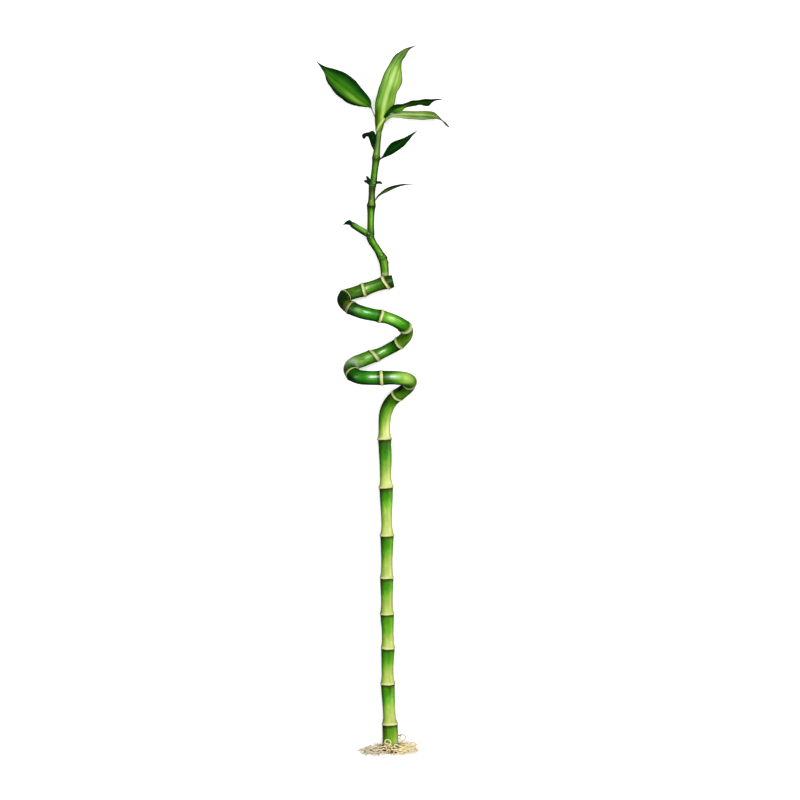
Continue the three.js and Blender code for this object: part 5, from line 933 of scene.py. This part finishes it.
# painted light and shade: the stalk's right flank painted paler and its left flank darker
A["tone"] = np.clip(A["tone"] + stalk * (0.13 * smooth(0.15, 0.7, facing[..., 0]) - 0.06 * smooth(0.2, 0.7, -facing[..., 0])), 0, 1)
foot = 1 - smooth(3.0, 8.5, S + 1.6 * wavy(np.cos(F) * 2, np.sin(F) * 2 + S * 0.2, 77, 3))
A["earth"] = np.clip(foot * 1.1, 0, 1) * (1 - A["sawn"])
A["warm"] = A["warm"] + stalk * ((0.95 - 0.15 * smooth(0.2, 0.45, along) - 0.55 * smooth(0.38, 0.60, along) * (1 - smooth(0.84, 0.96, along))) * A["warm"] / 0.62 - A["warm"])
A["warm"] = A["warm"] + (1 - smooth(20.0, 25.0, S)) * (0.82 - A["warm"])
blotch = wavy(np.cos(F) * 1.6 + S * 0.05, np.sin(F) * 1.6 + S * 0.05, 33, 3)
A["tone"] = np.clip(A["tone"] + stalk * (0.09 * blotch * smooth(0.25, 0.6, along) - 0.10 * smooth(0.86, 0.97, along)), 0, 1)
A["rust"] = stalk * 0.75 * bell(along, 0.09, 0.09) * smooth(-0.2, 0.5, wavy(np.cos(F) * 1.4 + S * 0.05, np.sin(F) * 1.4 + S * 0.03, 91, 2))
A["rust"] = A["rust"] + 0.8 * bell(S, 598.5, 3.2) + 0.6 * bell(S, 632.5, 3.0) * smooth(0.1, 0.7, facing[..., 1])
# painted shadow: a dark band just below the ring at 596.6 mm, on the side facing the strand above
A["dark"] = np.maximum(A["dark"], 0.9 * bell(S, 590.5, 2.6) * smooth(0.45, 0.85, (facing * unit(np.array([0.1, 0.95, 0.3]))).sum(2)))
A["tone"] = A["tone"] + 0.07 * bell(S, 613, 12) * wavy(np.cos(F) * 2.6 + S * 0.22, np.sin(F) * 2.6 - S * 0.17, 57, 3)
# painted shade: round the spiral the tone is darkened on the flanks that turn away from straight up
A["tone"] = A["tone"] * (1 - (0.34 + 0.2 * smooth(632, 645, S)) * smooth(335, 365, S) * (1 - smooth(0.20, 0.70, facing[..., 2])) * (1 - bell(S, 522, 14)))
# painted reflection and painted highlights: a pale grey-green sheen over the turn at 449 mm, and pale patches on the
# up-facing tops of the tubes at the listed places
A["bloom_and_highlight"] = 0.95 * bell(S, 449, 8)
for place, reach, amount in [(386, 5.2, 0.75), (406.5, 3.2, 0.30), (419, 2.6, 0.40), (489, 4.0, 0.22), (557.5, 3.4, 0.30), (587.5, 3.2, 0.55), (471, 3.0, 0.25)]:
    A["bloom_and_highlight"] = np.maximum(A["bloom_and_highlight"], amount * bell(S, place, reach) * smooth(0.86, 0.995, (facing * unit(np.array([0.0, 0.14, 1.0]))).sum(2)))
A["tone"] = A["tone"] * (1 - 0.3 * foot)
# painted light and shade round the bend: one side painted lighter, the other darker, and the right flank paler than the
# left
low_side = (facing * unit(np.array([0.55, -0.83, 0.0]))).sum(2)
A["tone"] = A["tone"] + bell(S, 346, 9) * (0.14 * smooth(0.0, 0.7, low_side) - 0.30 * smooth(-0.05, 0.55, -low_side))
A["tone"] = np.clip(A["tone"] + (0.16 * smooth(0.0, 0.7, facing[..., 0]) - 0.14 * smooth(0.0, 0.6, -facing[..., 0])) * smooth(284, 292, S) * (1 - smooth(322, 334, S)), 0, 1)
STEMS = [Skin().rings(P, **A).build("cane_stem", "cane", "cane_skin", CANE_SKIN)]

# ---- the shoot and its stub


def tapered(points, extra=0.0):
    pts = np.array(points, float)
    line = Line(pts[:, :3])
    steps = lengths(pts[:, :3])
    steps = steps * line.length / steps[-1]
    table = np.stack([steps, pts[:, 3] + extra], 1)
    return line, lambda s: even(table, np.asarray(s, float), 0.5)


def seen(x, y, z):
    """The place in mm of a point of the picture plane (800 across) that lies z mm above the surface."""
    k = 0.0005 * (EYE - z)
    return np.array([(x - 400) * k, -(y - 400) * k, z])


def touched(line, radius, x, y):
    """Where the eye's ray through a point of the picture plane first meets a stem."""
    for z in np.arange(40.0, 2.0, -0.1):
        q = seen(x, y, z)
        s = float(line.nearest(q))
        if np.linalg.norm(q - line.at(np.array([s]))[0][0]) <= float(radius(s)):
            return q
    return seen(x, y, 12.0)


shoot_line, shoot_radius = tapered(SHOOT_LINE)
SHOOT_RING = [(0.35, 1.0, 0.10, 0.7, 0.6), (0.35, 1.1, 0.12, 0.4, 0.5), (0.80, 0.4, 0.05, 1.0, 1.0), (0.40, 0.8, 0.06, 0.6, 0.4), (0.55, 0.8, 0.08, 0.7, 0.6)]
shoot_rings = []
for point, (rise, wide, cream, below, above) in zip(SHOOT_NODES, SHOOT_RING):
    a = shoot_line.nearest(point)
    shoot_rings.append((a, float(shoot_radius(a)) + rise, wide, cream, below, above))
SHOOT_SPAN = [(0.52, 0.49, 0.42, 0.40), (0.40, 0.38, 0.34, 0.30), (0.30, 0.34, 0.33, 0.50), (0.40, 0.27, 0.22, 0.85), (0.27, 0.37, 0.34, 0.60), (0.36, 0.33, 0.43, 0.70)]
SHOOT_SPOTS = [  # where they show, reach, height, cream, dark rim
    (368.9, 233.6, 1.7, 0.75, 0.55, 1.0), (370.4, 237.6, 1.3, 0.15, 0.35, 0.6), (381.7, 255.0, 1.9, 0.25, 0.40, 0.25), (383.9, 258.6, 1.5, 0.30, 0.35, 0.8),
    (376.5, 157.4, 1.5, 0.20, 0.45, 0.7), (374.6, 183.0, 1.3, 0.15, 0.45, 0.6), (370.6, 201.0, 1.3, 0.10, 0.45, 0.0), (370.5, 203.6, 1.0, 0.05, 0.35, 0.0),
]
SHOOT_SPOTS = [(touched(shoot_line, shoot_radius, x, y), *rest) for x, y, *rest in SHOOT_SPOTS]
SHOOT_LUMPS = [(seen(388.6, 262.3, 9.6), 1.1, 0.7), (seen(387.2, 257.0, 9.8), 1.3, 0.8), (seen(376.2, 238.4, 11.2), 1.1, 0.5), (seen(371.5, 132.0, 18.0), 0.9, 0.3)]
# painted shade from stem(): dark flanks and a narrow bright middle down the shoot
P, A, S, F, lit, along = stem(shoot_line, shoot_radius, shoot_rings, SHOOT_SPAN, 40, ("round", "round"), fine=0.25, coarse=1.0, seed=8, sun=unit(np.array([0.06, 0.05, 1.0])), shade=(0.20, 0.42, 0.96), lumps=SHOOT_LUMPS, spots=SHOOT_SPOTS, rough=0.05)
N = outward(P)
eye_ring, bud_ring, leaf_ring = (shoot_rings[k][0] for k in (2, 3, 4))
# painted highlight: streak is a pale line down the shoot's middle; flank makes the right side a little lighter near the
# foot and darker higher up
flank = smooth(0.15, 0.75, N[..., 0])
streak = smooth(0.86, 0.995, (N * unit(np.array([0.24, 0.10, 0.96]))).sum(2))
A["tone"] = np.clip(A["tone"] + flank * (0.03 - 0.10 * smooth(30, 60, S)) + streak * (0.16 - 0.06 * smooth(60, 80, S)) * (1 + 1.1 * wavy(S * 0.22, F * 0, 19, 2)) + 0.05 * wavy(np.cos(F) * 2 + S * 0.12, np.sin(F) * 2 + S * 0.30, 23, 3), 0, 1)
A["dark"] = np.maximum(A["dark"], 0.97 * bell(S, eye_ring - 0.1, 1.05))
A["dark"] = np.maximum(A["dark"], 0.75 * bell(S, leaf_ring - 0.4, 1.3) * smooth(0.25, 0.8, np.abs(N[..., 0])))
A["dark"] = np.maximum(A["dark"], 0.55 * bell(S, bud_ring - 3.0, 2.6) * smooth(0.0, 0.7, np.abs(N[..., 0])))
A["bloom_and_highlight"] = 0.40 * smooth(leaf_ring - 1, leaf_ring + 6, S) + 0.15 * bell(S, eye_ring + 9, 4.0) + 0.18 * bell(S, eye_ring - 8, 5.0)
# a cream collar where the shoot leaves the cane, partly its own colour, partly painted light: it shows only on the side
# facing the light
collar = (1 - smooth(4.6, 8.2, S + 0.6 * wavy(np.cos(F) * 2, np.sin(F) * 2, 61, 2)))
A["cream"] = np.maximum(A["cream"], collar * 0.55 * smooth(0.2, 0.9, lit))
A["dark"] = np.maximum(A["dark"], 0.9 * bell(S, 3.0, 1.1))
right = unit(np.array([1.0, 0.0, 0.25]))
A["warm"] = np.clip(A["warm"] + 0.45 * smooth(0.35, 0.95, (N * right).sum(2)), 0, 1)
STEMS.append(Skin().rings(P, **A).build("shoot", "shoot_stem", "shoot_skin", SHOOT_SKIN))

stub_line, stub_radius = tapered(STUB_LINE)
# the stub carries painted shade from stem()
P, A, S, F, lit, along = stem(stub_line, stub_radius, [(stub_line.length * 0.18, float(stub_radius(stub_line.length * 0.18)) + 0.15, 0.8, 0.08, 0.2, 0.2)], [(0.44, 0.48, 0.48, 0.42), (0.49, 0.50, 0.45, 0.36)], 28, ("round", "round"), fine=0.3, coarse=0.8, seed=12, sun=unit(np.array([0.25, 0.62, 0.74])), shade=(0.30, 0.1, 0.92), spots=[(touched(stub_line, stub_radius, 368.6, 233.4), 1.7, 0.4, 0.55, 1.0)], rough=0.06)
A["tone"] = A["tone"] * (1 - 0.65 * smooth(0.80, 1.0, S / stub_line.length))
A["warm"] = np.clip(A["warm"] + 0.5 * smooth(0.2, 0.9, outward(P)[..., 1]), 0, 1)
# painted light: a pale pinkish tint only on the stub's side facing the light
A["pink"] = 0.10 * smooth(0.35, 0.95, lit) * bell(S, stub_line.length * 0.62, stub_line.length * 0.3)
STEMS.append(Skin().rings(P, **A).build("stub", "side_stub", "shoot_skin", SHOOT_SKIN))

# ---- the shrivelled buds


def bud(name, node, lines, seed):
    skin = Skin()
    for k, pts in enumerate(lines):
        pts = np.array(pts, float)
        line, radius = tapered(pts)
        n = 26
        s = line.length * (1 - np.cos(np.linspace(0.06, np.pi - 0.06, n))) / 2
        phi = np.linspace(0, 2 * np.pi, 20, endpoint=False)
        S, F = np.meshgrid(s, phi, indexing="ij")
        end = np.sqrt(np.clip(1 - np.clip((s - line.length * 0.72) / (line.length * 0.28), 0, 1) ** 2.4, 0.004, 1))
        r = radius(s)[:, None] * (1 + 0.16 * wavy(np.cos(F) * 2.4, np.sin(F) * 2.4 + S * 0.5, seed + k, 3) + 0.07 * np.cos(5 * F + S * 0.7)) * end[:, None]
        p, t, nn, b = line.at(s)
        P = p[:, None] + (nn[:, None] * np.sin(F)[..., None] + b[:, None] * np.cos(F)[..., None]) * r[..., None]
        at = np.stack([np.cos(F) * 1.4, S, np.sin(F) * 1.4], -1)
        # painted light: the buds are paler on the side facing the sun direction
        skin.rings(P, tone=0.25 + 0.25 * smooth(0.4, 1.0, (outward(P) * SUN).sum(2)), at=at)
    skin.build(name, node, "dried_leaf", HUSK)


bud("bud_left", "left_bud", [LEFT_BUD_LOW, LEFT_BUD_HIGH], 40)
bud("bud_right", "right_bud", [RIGHT_BUD], 50)

# ------------------------------------------------------------------ leaves


def blade(name, node, slot, material, paint, rows=130, cols=40, thick=0.42, keel=0.35, groove=0.10, ripple=0.0, seed=1, wide=1.0):
    """A leaf between its two edges, u from -1 to 1 across and v from 0 to 1 up it: paint(u, v, lit) gives its tone, warmth and dryness."""
    a, m, b = (np.array(BLADES[node][k], float) for k in ("edgeA", "midrib", "edgeB"))
    v = np.linspace(0, 1, rows)
    v = v * 0.985 + 0.015 * (1 - np.cos(v * np.pi)) / 2
    n = len(m)

    def fill(X):
        Q = through(X, 24)
        return np.stack([np.interp(v * (n - 1) * 24, np.arange(len(Q)), Q[:, k]) for k in range(3)], 1)

    a, m, b = fill(a), fill(m), fill(b)
    a, b = m + (a - m) * wide, m + (b - m) * wide
    th = np.linspace(0, np.pi, cols)
    u = -np.cos(th)
    U, V = np.meshgrid(u, v, indexing="xy")
    M = m[:, None] + (b - a)[:, None] * (U / 2)[..., None] + (a + b - 2 * m)[:, None] * (U**2 / 2)[..., None]
    half = np.linalg.norm(b - a, axis=1) / 2
    along_mm = lengths(m)
    du, dv = np.gradient(M, axis=1), np.gradient(M, axis=0)
    N = np.cross(du, dv)
    N = unit(N)
    if N[..., 2].sum() < 0:
        N = -N
    # even out the frame where the blade narrows to nothing
    for _ in range(2):
        N[1:-1] = unit(N[:-2] + 2 * N[1:-1] + N[2:])
    slim = np.clip(half / 1.6, 0.25, 1)[:, None]
    w = thick / 2 * np.sqrt(np.clip(1 - np.abs(U) ** 3.2, 0.03, 1)) * slim
    rib = np.exp(-((U * half[:, None] / 0.75) ** 2)) * slim * (1 - 0.6 * V)
    wave = ripple * np.sin(along_mm[:, None] * 0.42 + 1.2 * np.sign(U) + 0.5 * np.sin(along_mm[:, None] * 0.17)) * np.abs(U) ** 2.2 * smooth(0.08, 0.3, V) * (1 - smooth(0.8, 1.0, V))
    veins = 0.035 * np.sin(U * half[:, None] * 3.9 + 0.3 * np.sin(along_mm[:, None] * 0.1)) * slim
    front = M + N * (w + wave + veins - groove * rib)[..., None]
    back = M - N * (w - wave - veins + keel * rib)[..., None]
    P = np.concatenate([front, back[:, ::-1][:, 1:-1]], 1)
    UU = np.concatenate([U, U[:, ::-1][:, 1:-1]], 1)
    VV = np.concatenate([V, V[:, 1:-1]], 1)
    side = np.concatenate([np.zeros_like(U), np.ones_like(U[:, 1:-1])], 1)
    NN = np.concatenate([N, -N[:, ::-1][:, 1:-1]], 1)
    tone, warm, dry = paint(UU, VV, (NN * SUN).sum(2))
    one = np.ones_like(UU)
    tone = tone * one + side * (0.10 - 0.12 * tone)
    at = np.stack([UU * half[:, None], along_mm[:, None] * one, side * 9 + seed], -1)
    Skin().rings(P, tone=np.clip(tone, 0, 1), warm=np.clip(warm * one, 0, 1), dry=np.clip(dry * one, 0, 1), at=at).build(name, node, slot, material)


def paint_left(u, v, lit):
    edge = smooth(0.40, 0.94, np.abs(u)) * 0.22
    t = 0.37 + 0.06 * bell(u, 0.05, 0.10) + 0.04 * bell(u, 0.28, 0.22) - 0.03 * bell(u, -0.16, 0.10) + 0.04 * bell(u, -0.38, 0.16) - edge - 0.13 * smooth(0.50, 0.85, u) - 0.02 * smooth(0.15, 0.6, -u)
    t = t + 0.19 * bell(u, 0.16, 0.22) * bell(v, 0.40, 0.13) + 0.10 * bell(u, 0.30, 0.20) * bell(v, 0.28, 0.10) + 0.06 * bell(u, 0.02, 0.16) * bell(v, 0.66, 0.12)
    t = t * (1 - 0.72 * smooth(0.80, 0.97, v)) * (1 - 0.30 * (1 - smooth(0.12, 0.26, v)))
    stalk = 1 - smooth(0.10, 0.17, v)
    t = t * (1 - stalk) + stalk * (0.62 - 0.24 * (1 - smooth(0.0, 0.08, v)))
    return t, 0.04 + 0.20 * bell(u, 0.2, 0.3) * bell(v, 0.34, 0.2) + 0.6 * stalk, 0.5 * stalk + 0.3 * smooth(0.95, 1.0, v)


def paint_top(u, v, lit):
    rise = 1 - smooth(0.60, 0.84, v)
    t = 0.67 + (0.12 * bell(u, 0.02, 0.26) + 0.05 * bell(u, 0.03, 0.06)) * rise - 0.08 * bell(u, 0.32, 0.06) * rise + 0.07 * bell(u, 0.52, 0.14) - 0.08 * bell(u, 0.70, 0.07) - 0.09 * bell(u, -0.34, 0.08) + 0.06 * bell(u, -0.56, 0.14) - 0.05 * bell(u, -0.74, 0.06)
    t = t - 0.38 * smooth(0.82, 0.97, -u) - 0.42 * smooth(0.86, 0.98, u)
    t = t - 0.20 * bell(u, 0.46, 0.22) * bell(v, 0.36, 0.13) - 0.16 * bell(u, -0.7, 0.3) * bell(v, 0.30, 0.20)
    low = 1 - smooth(0.14, 0.30, v)
    fold = bell(u, -0.62 + 8.6 * v, 0.30) * (1 - smooth(0.15, 0.21, v))
    mid = bell(u, 0.02 + 0.5 * v, 0.30) * smooth(0.07, 0.15, v)
    t = t * (1 - low) + low * (0.42 + 0.42 * np.maximum(fold, 0.75 * mid) - 0.14 * smooth(0.30, 0.8, u) * (1 - fold) - 0.20 * smooth(0.25, 0.8, -u) * (1 - fold))
    t = t - 0.24 * smooth(0.62, 0.84, v) - 0.24 * smooth(0.86, 0.97, v)
    warm = 0.12 + 0.40 * smooth(0.25, 0.75, u) + 0.45 * low + 0.5 * low * smooth(0.2, 0.7, u) + 0.35 * smooth(0.72, 0.92, v)
    return t, warm, 0.04 + 0.46 * smooth(0.66, 0.95, v) + 0.16 * low * fold


def paint_right_upper(u, v, lit):
    t = 0.15 + 0.10 * bell(u, 0.1, 0.35) * bell(v, 0.6, 0.25)
    patch = smooth(-0.15, 0.35, u) * bell(v, 0.30, 0.13)
    t = t + 0.30 * patch + 0.06 * bell(v, 0.12, 0.1)
    t = t - 0.06 * smooth(0.8, 1.0, np.abs(u))
    return t, 0.3 * patch, 0.4 * smooth(0.90, 1.0, v)


def paint_right_lower(u, v, lit):
    t = 0.64 + 0.20 * bell(u, -0.02, 0.16) - 0.14 * bell(u, 0.40, 0.14) + 0.06 * bell(u, 0.72, 0.12) - 0.07 * bell(u, -0.5, 0.2)
    t = t - 0.30 * smooth(0.82, 1.0, np.abs(u)) - 0.08 * smooth(0.5, 0.95, -u)
    t = t + 0.12 * (1 - smooth(0.16, 0.46, v)) - 0.14 * smooth(0.50, 0.70, v) - 0.22 * smooth(0.74, 0.92, v)
    return t, 0.22 + 0.1 * v, 0.22 + 0.7 * smooth(0.68, 0.86, v)


def paint_mid(u, v, lit):
    t = 0.07 + 0.13 * bell(u, 0.05, 0.42) * smooth(0.1, 0.35, v) * (1 - smooth(0.75, 0.95, v))
    return t, 0.0, 0.3 * smooth(0.94, 1.0, v)


def paint_thin(u, v, lit):
    t = 0.30 + 0.10 * bell(u, 0.40, 0.3) - 0.18 * smooth(0.0, 0.6, -u) - 0.08 * bell(v, 0.60, 0.16)
    t = t + 0.52 * smooth(0.70, 0.90, v)
    return t, 0.0, 0.52 + 0.4 * smooth(0.66, 0.85, v)


def paint_husk(u, v, lit):
    # painted highlight: a paler band down the middle where the husk faces the sun direction
    return 0.22 + 0.3 * smooth(0.75, 1.0, lit) * bell(u, 0.0, 0.5), 0.0, 0.0


blade("leaf_left", "left_leaf", "dark_leaf", DARK_LEAF, paint_left, ripple=0.25, seed=1)
blade("leaf_top", "top_leaf", "pale_leaf", PALE_LEAF, paint_top, rows=170, cols=48, keel=0.25, groove=-0.16, ripple=0.3, seed=2)
blade("leaf_right_upper", "right_upper_leaf", "dark_leaf", DARK_LEAF, paint_right_upper, ripple=0.25, seed=3)
blade("leaf_right_lower", "right_lower_leaf", "pale_leaf", PALE_LEAF, paint_right_lower, ripple=0.15, seed=4)
blade("leaf_mid_right", "mid_right_leaf", "dark_leaf", DARK_LEAF, paint_mid, ripple=0.15, seed=5)
blade("leaf_low_thin", "low_thin_leaf", "thin_leaf", THIN_LEAF, paint_thin, rows=90, cols=20, thick=0.36, keel=0.15, seed=6, wide=1.35)
blade("bract", "withered_bract", "dried_leaf", HUSK, paint_husk, rows=80, cols=24, ripple=0.3, seed=7)
blade("leaf_stub", "side_stub_leaf", "dried_leaf", HUSK, paint_husk, rows=60, cols=24, ripple=0.15, seed=8)

# ------------------------------------------------------------------ roots


def root(k, radius, points):
    rng = np.random.default_rng(100 + k)
    skin = Skin()
    line = Line(points, 0.4)
    n = max(24, int(line.length / 0.42))
    s = np.linspace(0, line.length, n)
    phi = np.linspace(0, 2 * np.pi, 14, endpoint=False)
    S, F = np.meshgrid(s, phi, indexing="ij")
    f = s / line.length
    r = radius + (0.24 - radius) * f**2
    tip = np.sqrt(np.clip(1 - np.clip((s - line.length + 0.7) / 0.7, 0, 1) ** 2, 0.02, 1))
    r = (r * tip)[:, None] * (1 + 0.10 * np.sin(S * 1.9 + k) * bell(S % 7.0, 3.0, 2.5) + 0.12 * wavy(np.cos(F) * 1.3, S * 0.8 + np.sin(F), 200 + k, 3))
    p, t, nn, b = line.at(s)
    around = nn[:, None] * np.sin(F)[..., None] + b[:, None] * np.cos(F)[..., None]
    P = p[:, None] + around * r[..., None]
    P[..., 2] = np.maximum(P[..., 2], 0.05 + ORIGIN[2])
    side = smooth(-12.5, 2.0, P[..., 0] - FOOT_X)
    near = np.exp(-(((P[..., 0] - FOOT_X) / 6.5) ** 2) - ((P[..., 1] - FOOT_Y + 1.5) / 4.5) ** 2)
    tone = 0.34 + 0.42 * smooth(0.02, 0.35, S / line.length) + 0.12 * smooth(0.6, 1.0, S / line.length) + rng.uniform(-0.20, 0.20) + ROOT_TONE.get(k, 0.0)
    tone = tone + 0.07 + 0.08 * side - 0.14 * near + 0.22 * smooth(8.0, 13.0, P[..., 2]) * bell(P[..., 0], FOOT_X, 9.0)
    stain = np.maximum(0.85 * (1 - smooth(0.6, 2.6, S)) * rng.uniform(0.5, 1.0), 0.56 * near)
    at = np.stack([np.cos(F) * radius, np.sin(F) * radius, S + 31.0 * k], -1)
    skin.rings(P, tone=tone, warm=(0.15 + 0.8 * side) * ROOT_WARM.get(k, 1.0), stain=stain, at=at)
    # hair roots, with a few short dark ones below the foot
    hairs = int(line.length / 2.4)
    for h in range(hairs + (4 if k < 35 else 0)):
        low = h >= hairs
        place = rng.uniform(0.3, 4.5) if low else rng.uniform(0.10, 0.96) ** 1.3 * line.length
        q, tt, qn, qb = (x[0] for x in line.at(np.array([place])))
        a = rng.uniform(0, 2 * np.pi)
        out = qn * math.sin(a) + qb * math.cos(a)
        out[2] = out[2] * 0.55
        long = rng.uniform(1.6, 3.8) if low else rng.uniform(3.5, 9.5) * (1 - 0.6 * place / line.length)
        under = math.exp(-(((q[0] - FOOT_X) / 8.0) ** 2))
        d = unit(out * 0.8 + tt * rng.uniform(0.7, 2.2) * (0.4 if low else 1.0) + np.array([0.0, -(1.5 if low else 0.9) * under, -0.25]))
        c = [q, q + d * long * 0.3]
        bend = rng.normal(0, 0.22, 3)
        bend[2] = rng.normal(0, 0.2) - 0.12
        for _ in range(4):
            d = unit(d + bend * 0.42)
            c.append(c[-1] + d * long * 0.2)
        c = np.array(c)
        if h % 2:
            c[:, 2] = 0.15 + (c[:, 2] - c[:, 2].min()) * 0.1
        c[:, 2] = np.clip(c[:, 2], 0.15, max(q[2], 0.4))
        hair = Line(c, 0.4)
        hs = np.linspace(0, hair.length, 14)
        ph = np.linspace(0, 2 * np.pi, 6, endpoint=False)
        HS, HF = np.meshgrid(hs, ph, indexing="ij")
        hr = (rng.uniform(0.12, 0.20) * (1 - 0.6 * (hs / hair.length) ** 1.5))[:, None] * (1 + 0.1 * np.sin(HS * 2.3))
        hp, ht, hn, hb = hair.at(hs)
        HP = hp[:, None] + (hn[:, None] * np.sin(HF)[..., None] + hb[:, None] * np.cos(HF)[..., None]) * hr[..., None]
        HP[..., 2] = np.maximum(HP[..., 2], 0.03 + ORIGIN[2])
        hat = np.stack([np.cos(HF) * 0.2, np.sin(HF) * 0.2, HS + 7.0 * h + 31.0 * k], -1)
        skin.rings(HP, tone=np.full_like(HS, (0.20 if low else 0.66) + rng.uniform(-0.24, 0.20)), warm=(0.15 + 0.8 * smooth(-12.5, 2.0, HP[..., 0] - FOOT_X)) * ROOT_WARM.get(k, 1.0), stain=(0.6 if low else 0.3) * np.exp(-(((HP[..., 0] - FOOT_X) / 6.5) ** 2) - ((HP[..., 1] - FOOT_Y + 1.5) / 4.5) ** 2), at=hat)
    skin.build(f"root_piece_{k:02d}", f"root_{k:02d}", "root_fibre", ROOT)


FOOT_X, FOOT_Y = float(CANE_LINE[0][0]), float(CANE_LINE[0][1])
ROOT_TONE = {35: -0.46, 36: 0.12}
ROOT_WARM = {35: 0.55}
for k, (radius, points) in enumerate(ROOTS, 1):
    root(k, radius, points)

# ------------------------------------------------------------------ surface, light and eye

s = Shader("pale_surface")
where = s.t.nodes.new("ShaderNodeTexCoord").outputs["Object"]
cloud = s.noise(where, 3.0, 3.0, 0.5)
s.done(s.mix(s.span(cloud, 0.3, 0.7), colour(244, 244, 242), colour(250, 250, 249)), 0.85, specular=0.0)
s.bsdf.inputs["Emission Color"].default_value = (1, 1, 1, 1)
s.bsdf.inputs["Emission Strength"].default_value = 0.3
mesh = bpy.data.meshes.new("surface")
mesh.from_pydata([(-9, -9, 0), (9, -9, 0), (9, 9, 0), (-9, 9, 0)], [], [(0, 1, 2, 3)])
mesh.materials.append(s.m)
floor = bpy.data.objects.new("surface", mesh)
bpy.context.scene.collection.objects.link(floor)
floor.visible_diffuse = False
floor.visible_glossy = False

world = bpy.data.worlds.new("studio")
bpy.context.scene.world = world
world.use_nodes = True
nodes, links = world.node_tree.nodes, world.node_tree.links
up = nodes.new("ShaderNodeSeparateXYZ")
links.new(nodes.new("ShaderNodeTexCoord").outputs["Generated"], up.inputs[0])
dome = nodes.new("ShaderNodeValToRGB")
for _ in range(2):
    dome.color_ramp.elements.new(0.5)
for e, (at, c) in zip(dome.color_ramp.elements, [(0.40, 0.08), (0.52, 0.20), (0.75, 0.22), (1.0, 0.22)]):
    e.position, e.color = at, (c * 0.97, c * 0.985, c, 1.0)
half = nodes.new("ShaderNodeMapRange")
half.inputs["From Min"].default_value = -1.0
links.new(up.outputs["Z"], half.inputs["Value"])
links.new(half.outputs[0], dome.inputs[0])
links.new(dome.outputs[0], nodes["Background"].inputs[0])
nodes["Background"].inputs[1].default_value = 1.0


def softbox(name, place, look, size, power, tint=(1, 1, 1), diffuse=True, glossy=True):
    light = bpy.data.lights.new(name, "AREA")
    light.shape = "RECTANGLE"
    light.size, light.size_y = size
    light.energy = power
    light.color = tint
    o = bpy.data.objects.new(name, light)
    o.location = place
    o.rotation_euler = (Vector(look) - Vector(place)).to_track_quat("-Z", "Y").to_euler()
    bpy.context.scene.collection.objects.link(o)
    o.visible_camera, o.visible_diffuse, o.visible_glossy = False, diffuse, glossy
    return o


softbox("ceiling", (0.35, 0.35, 2.4), (0.0, 0.0, 0.0), (3.2, 3.2), 116.0, glossy=False)
polish = [softbox("window", (0.12, 0.72, 2.0), (0.0, 0.0, 0.03), (1.5, 1.1), 125.0, (1.0, 1.0, 0.98), diffuse=False)]
polish.append(softbox("right", (1.9, 0.3, 0.75), (0.0, 0.0, 0.03), (1.2, 1.0), 26.0, diffuse=False))
polish.append(softbox("left", (-1.9, 0.2, 0.8), (0.0, 0.0, 0.03), (1.0, 0.9), 9.0, diffuse=False))

waxed = bpy.data.collections.new("waxed")
for o in STEMS:
    waxed.objects.link(o)
for o in polish:
    o.light_linking.receiver_collection = waxed

camera = bpy.data.cameras.new("eye")
camera.sensor_width, camera.lens = 36.0, 90.0
camera.clip_start, camera.clip_end = 0.05, 50.0
eye = bpy.data.objects.new("eye", camera)
eye.location = (-ORIGIN[0] / 1000, -ORIGIN[1] / 1000, (EYE - ORIGIN[2]) / 1000)
eye.rotation_euler = (0, 0, 0)
bpy.context.scene.collection.objects.link(eye)
bpy.context.scene.camera = eye

view = bpy.context.scene.view_settings
view.view_transform = "Standard"
view.look = "None"
view.exposure = 0.0
view.gamma = 1.0
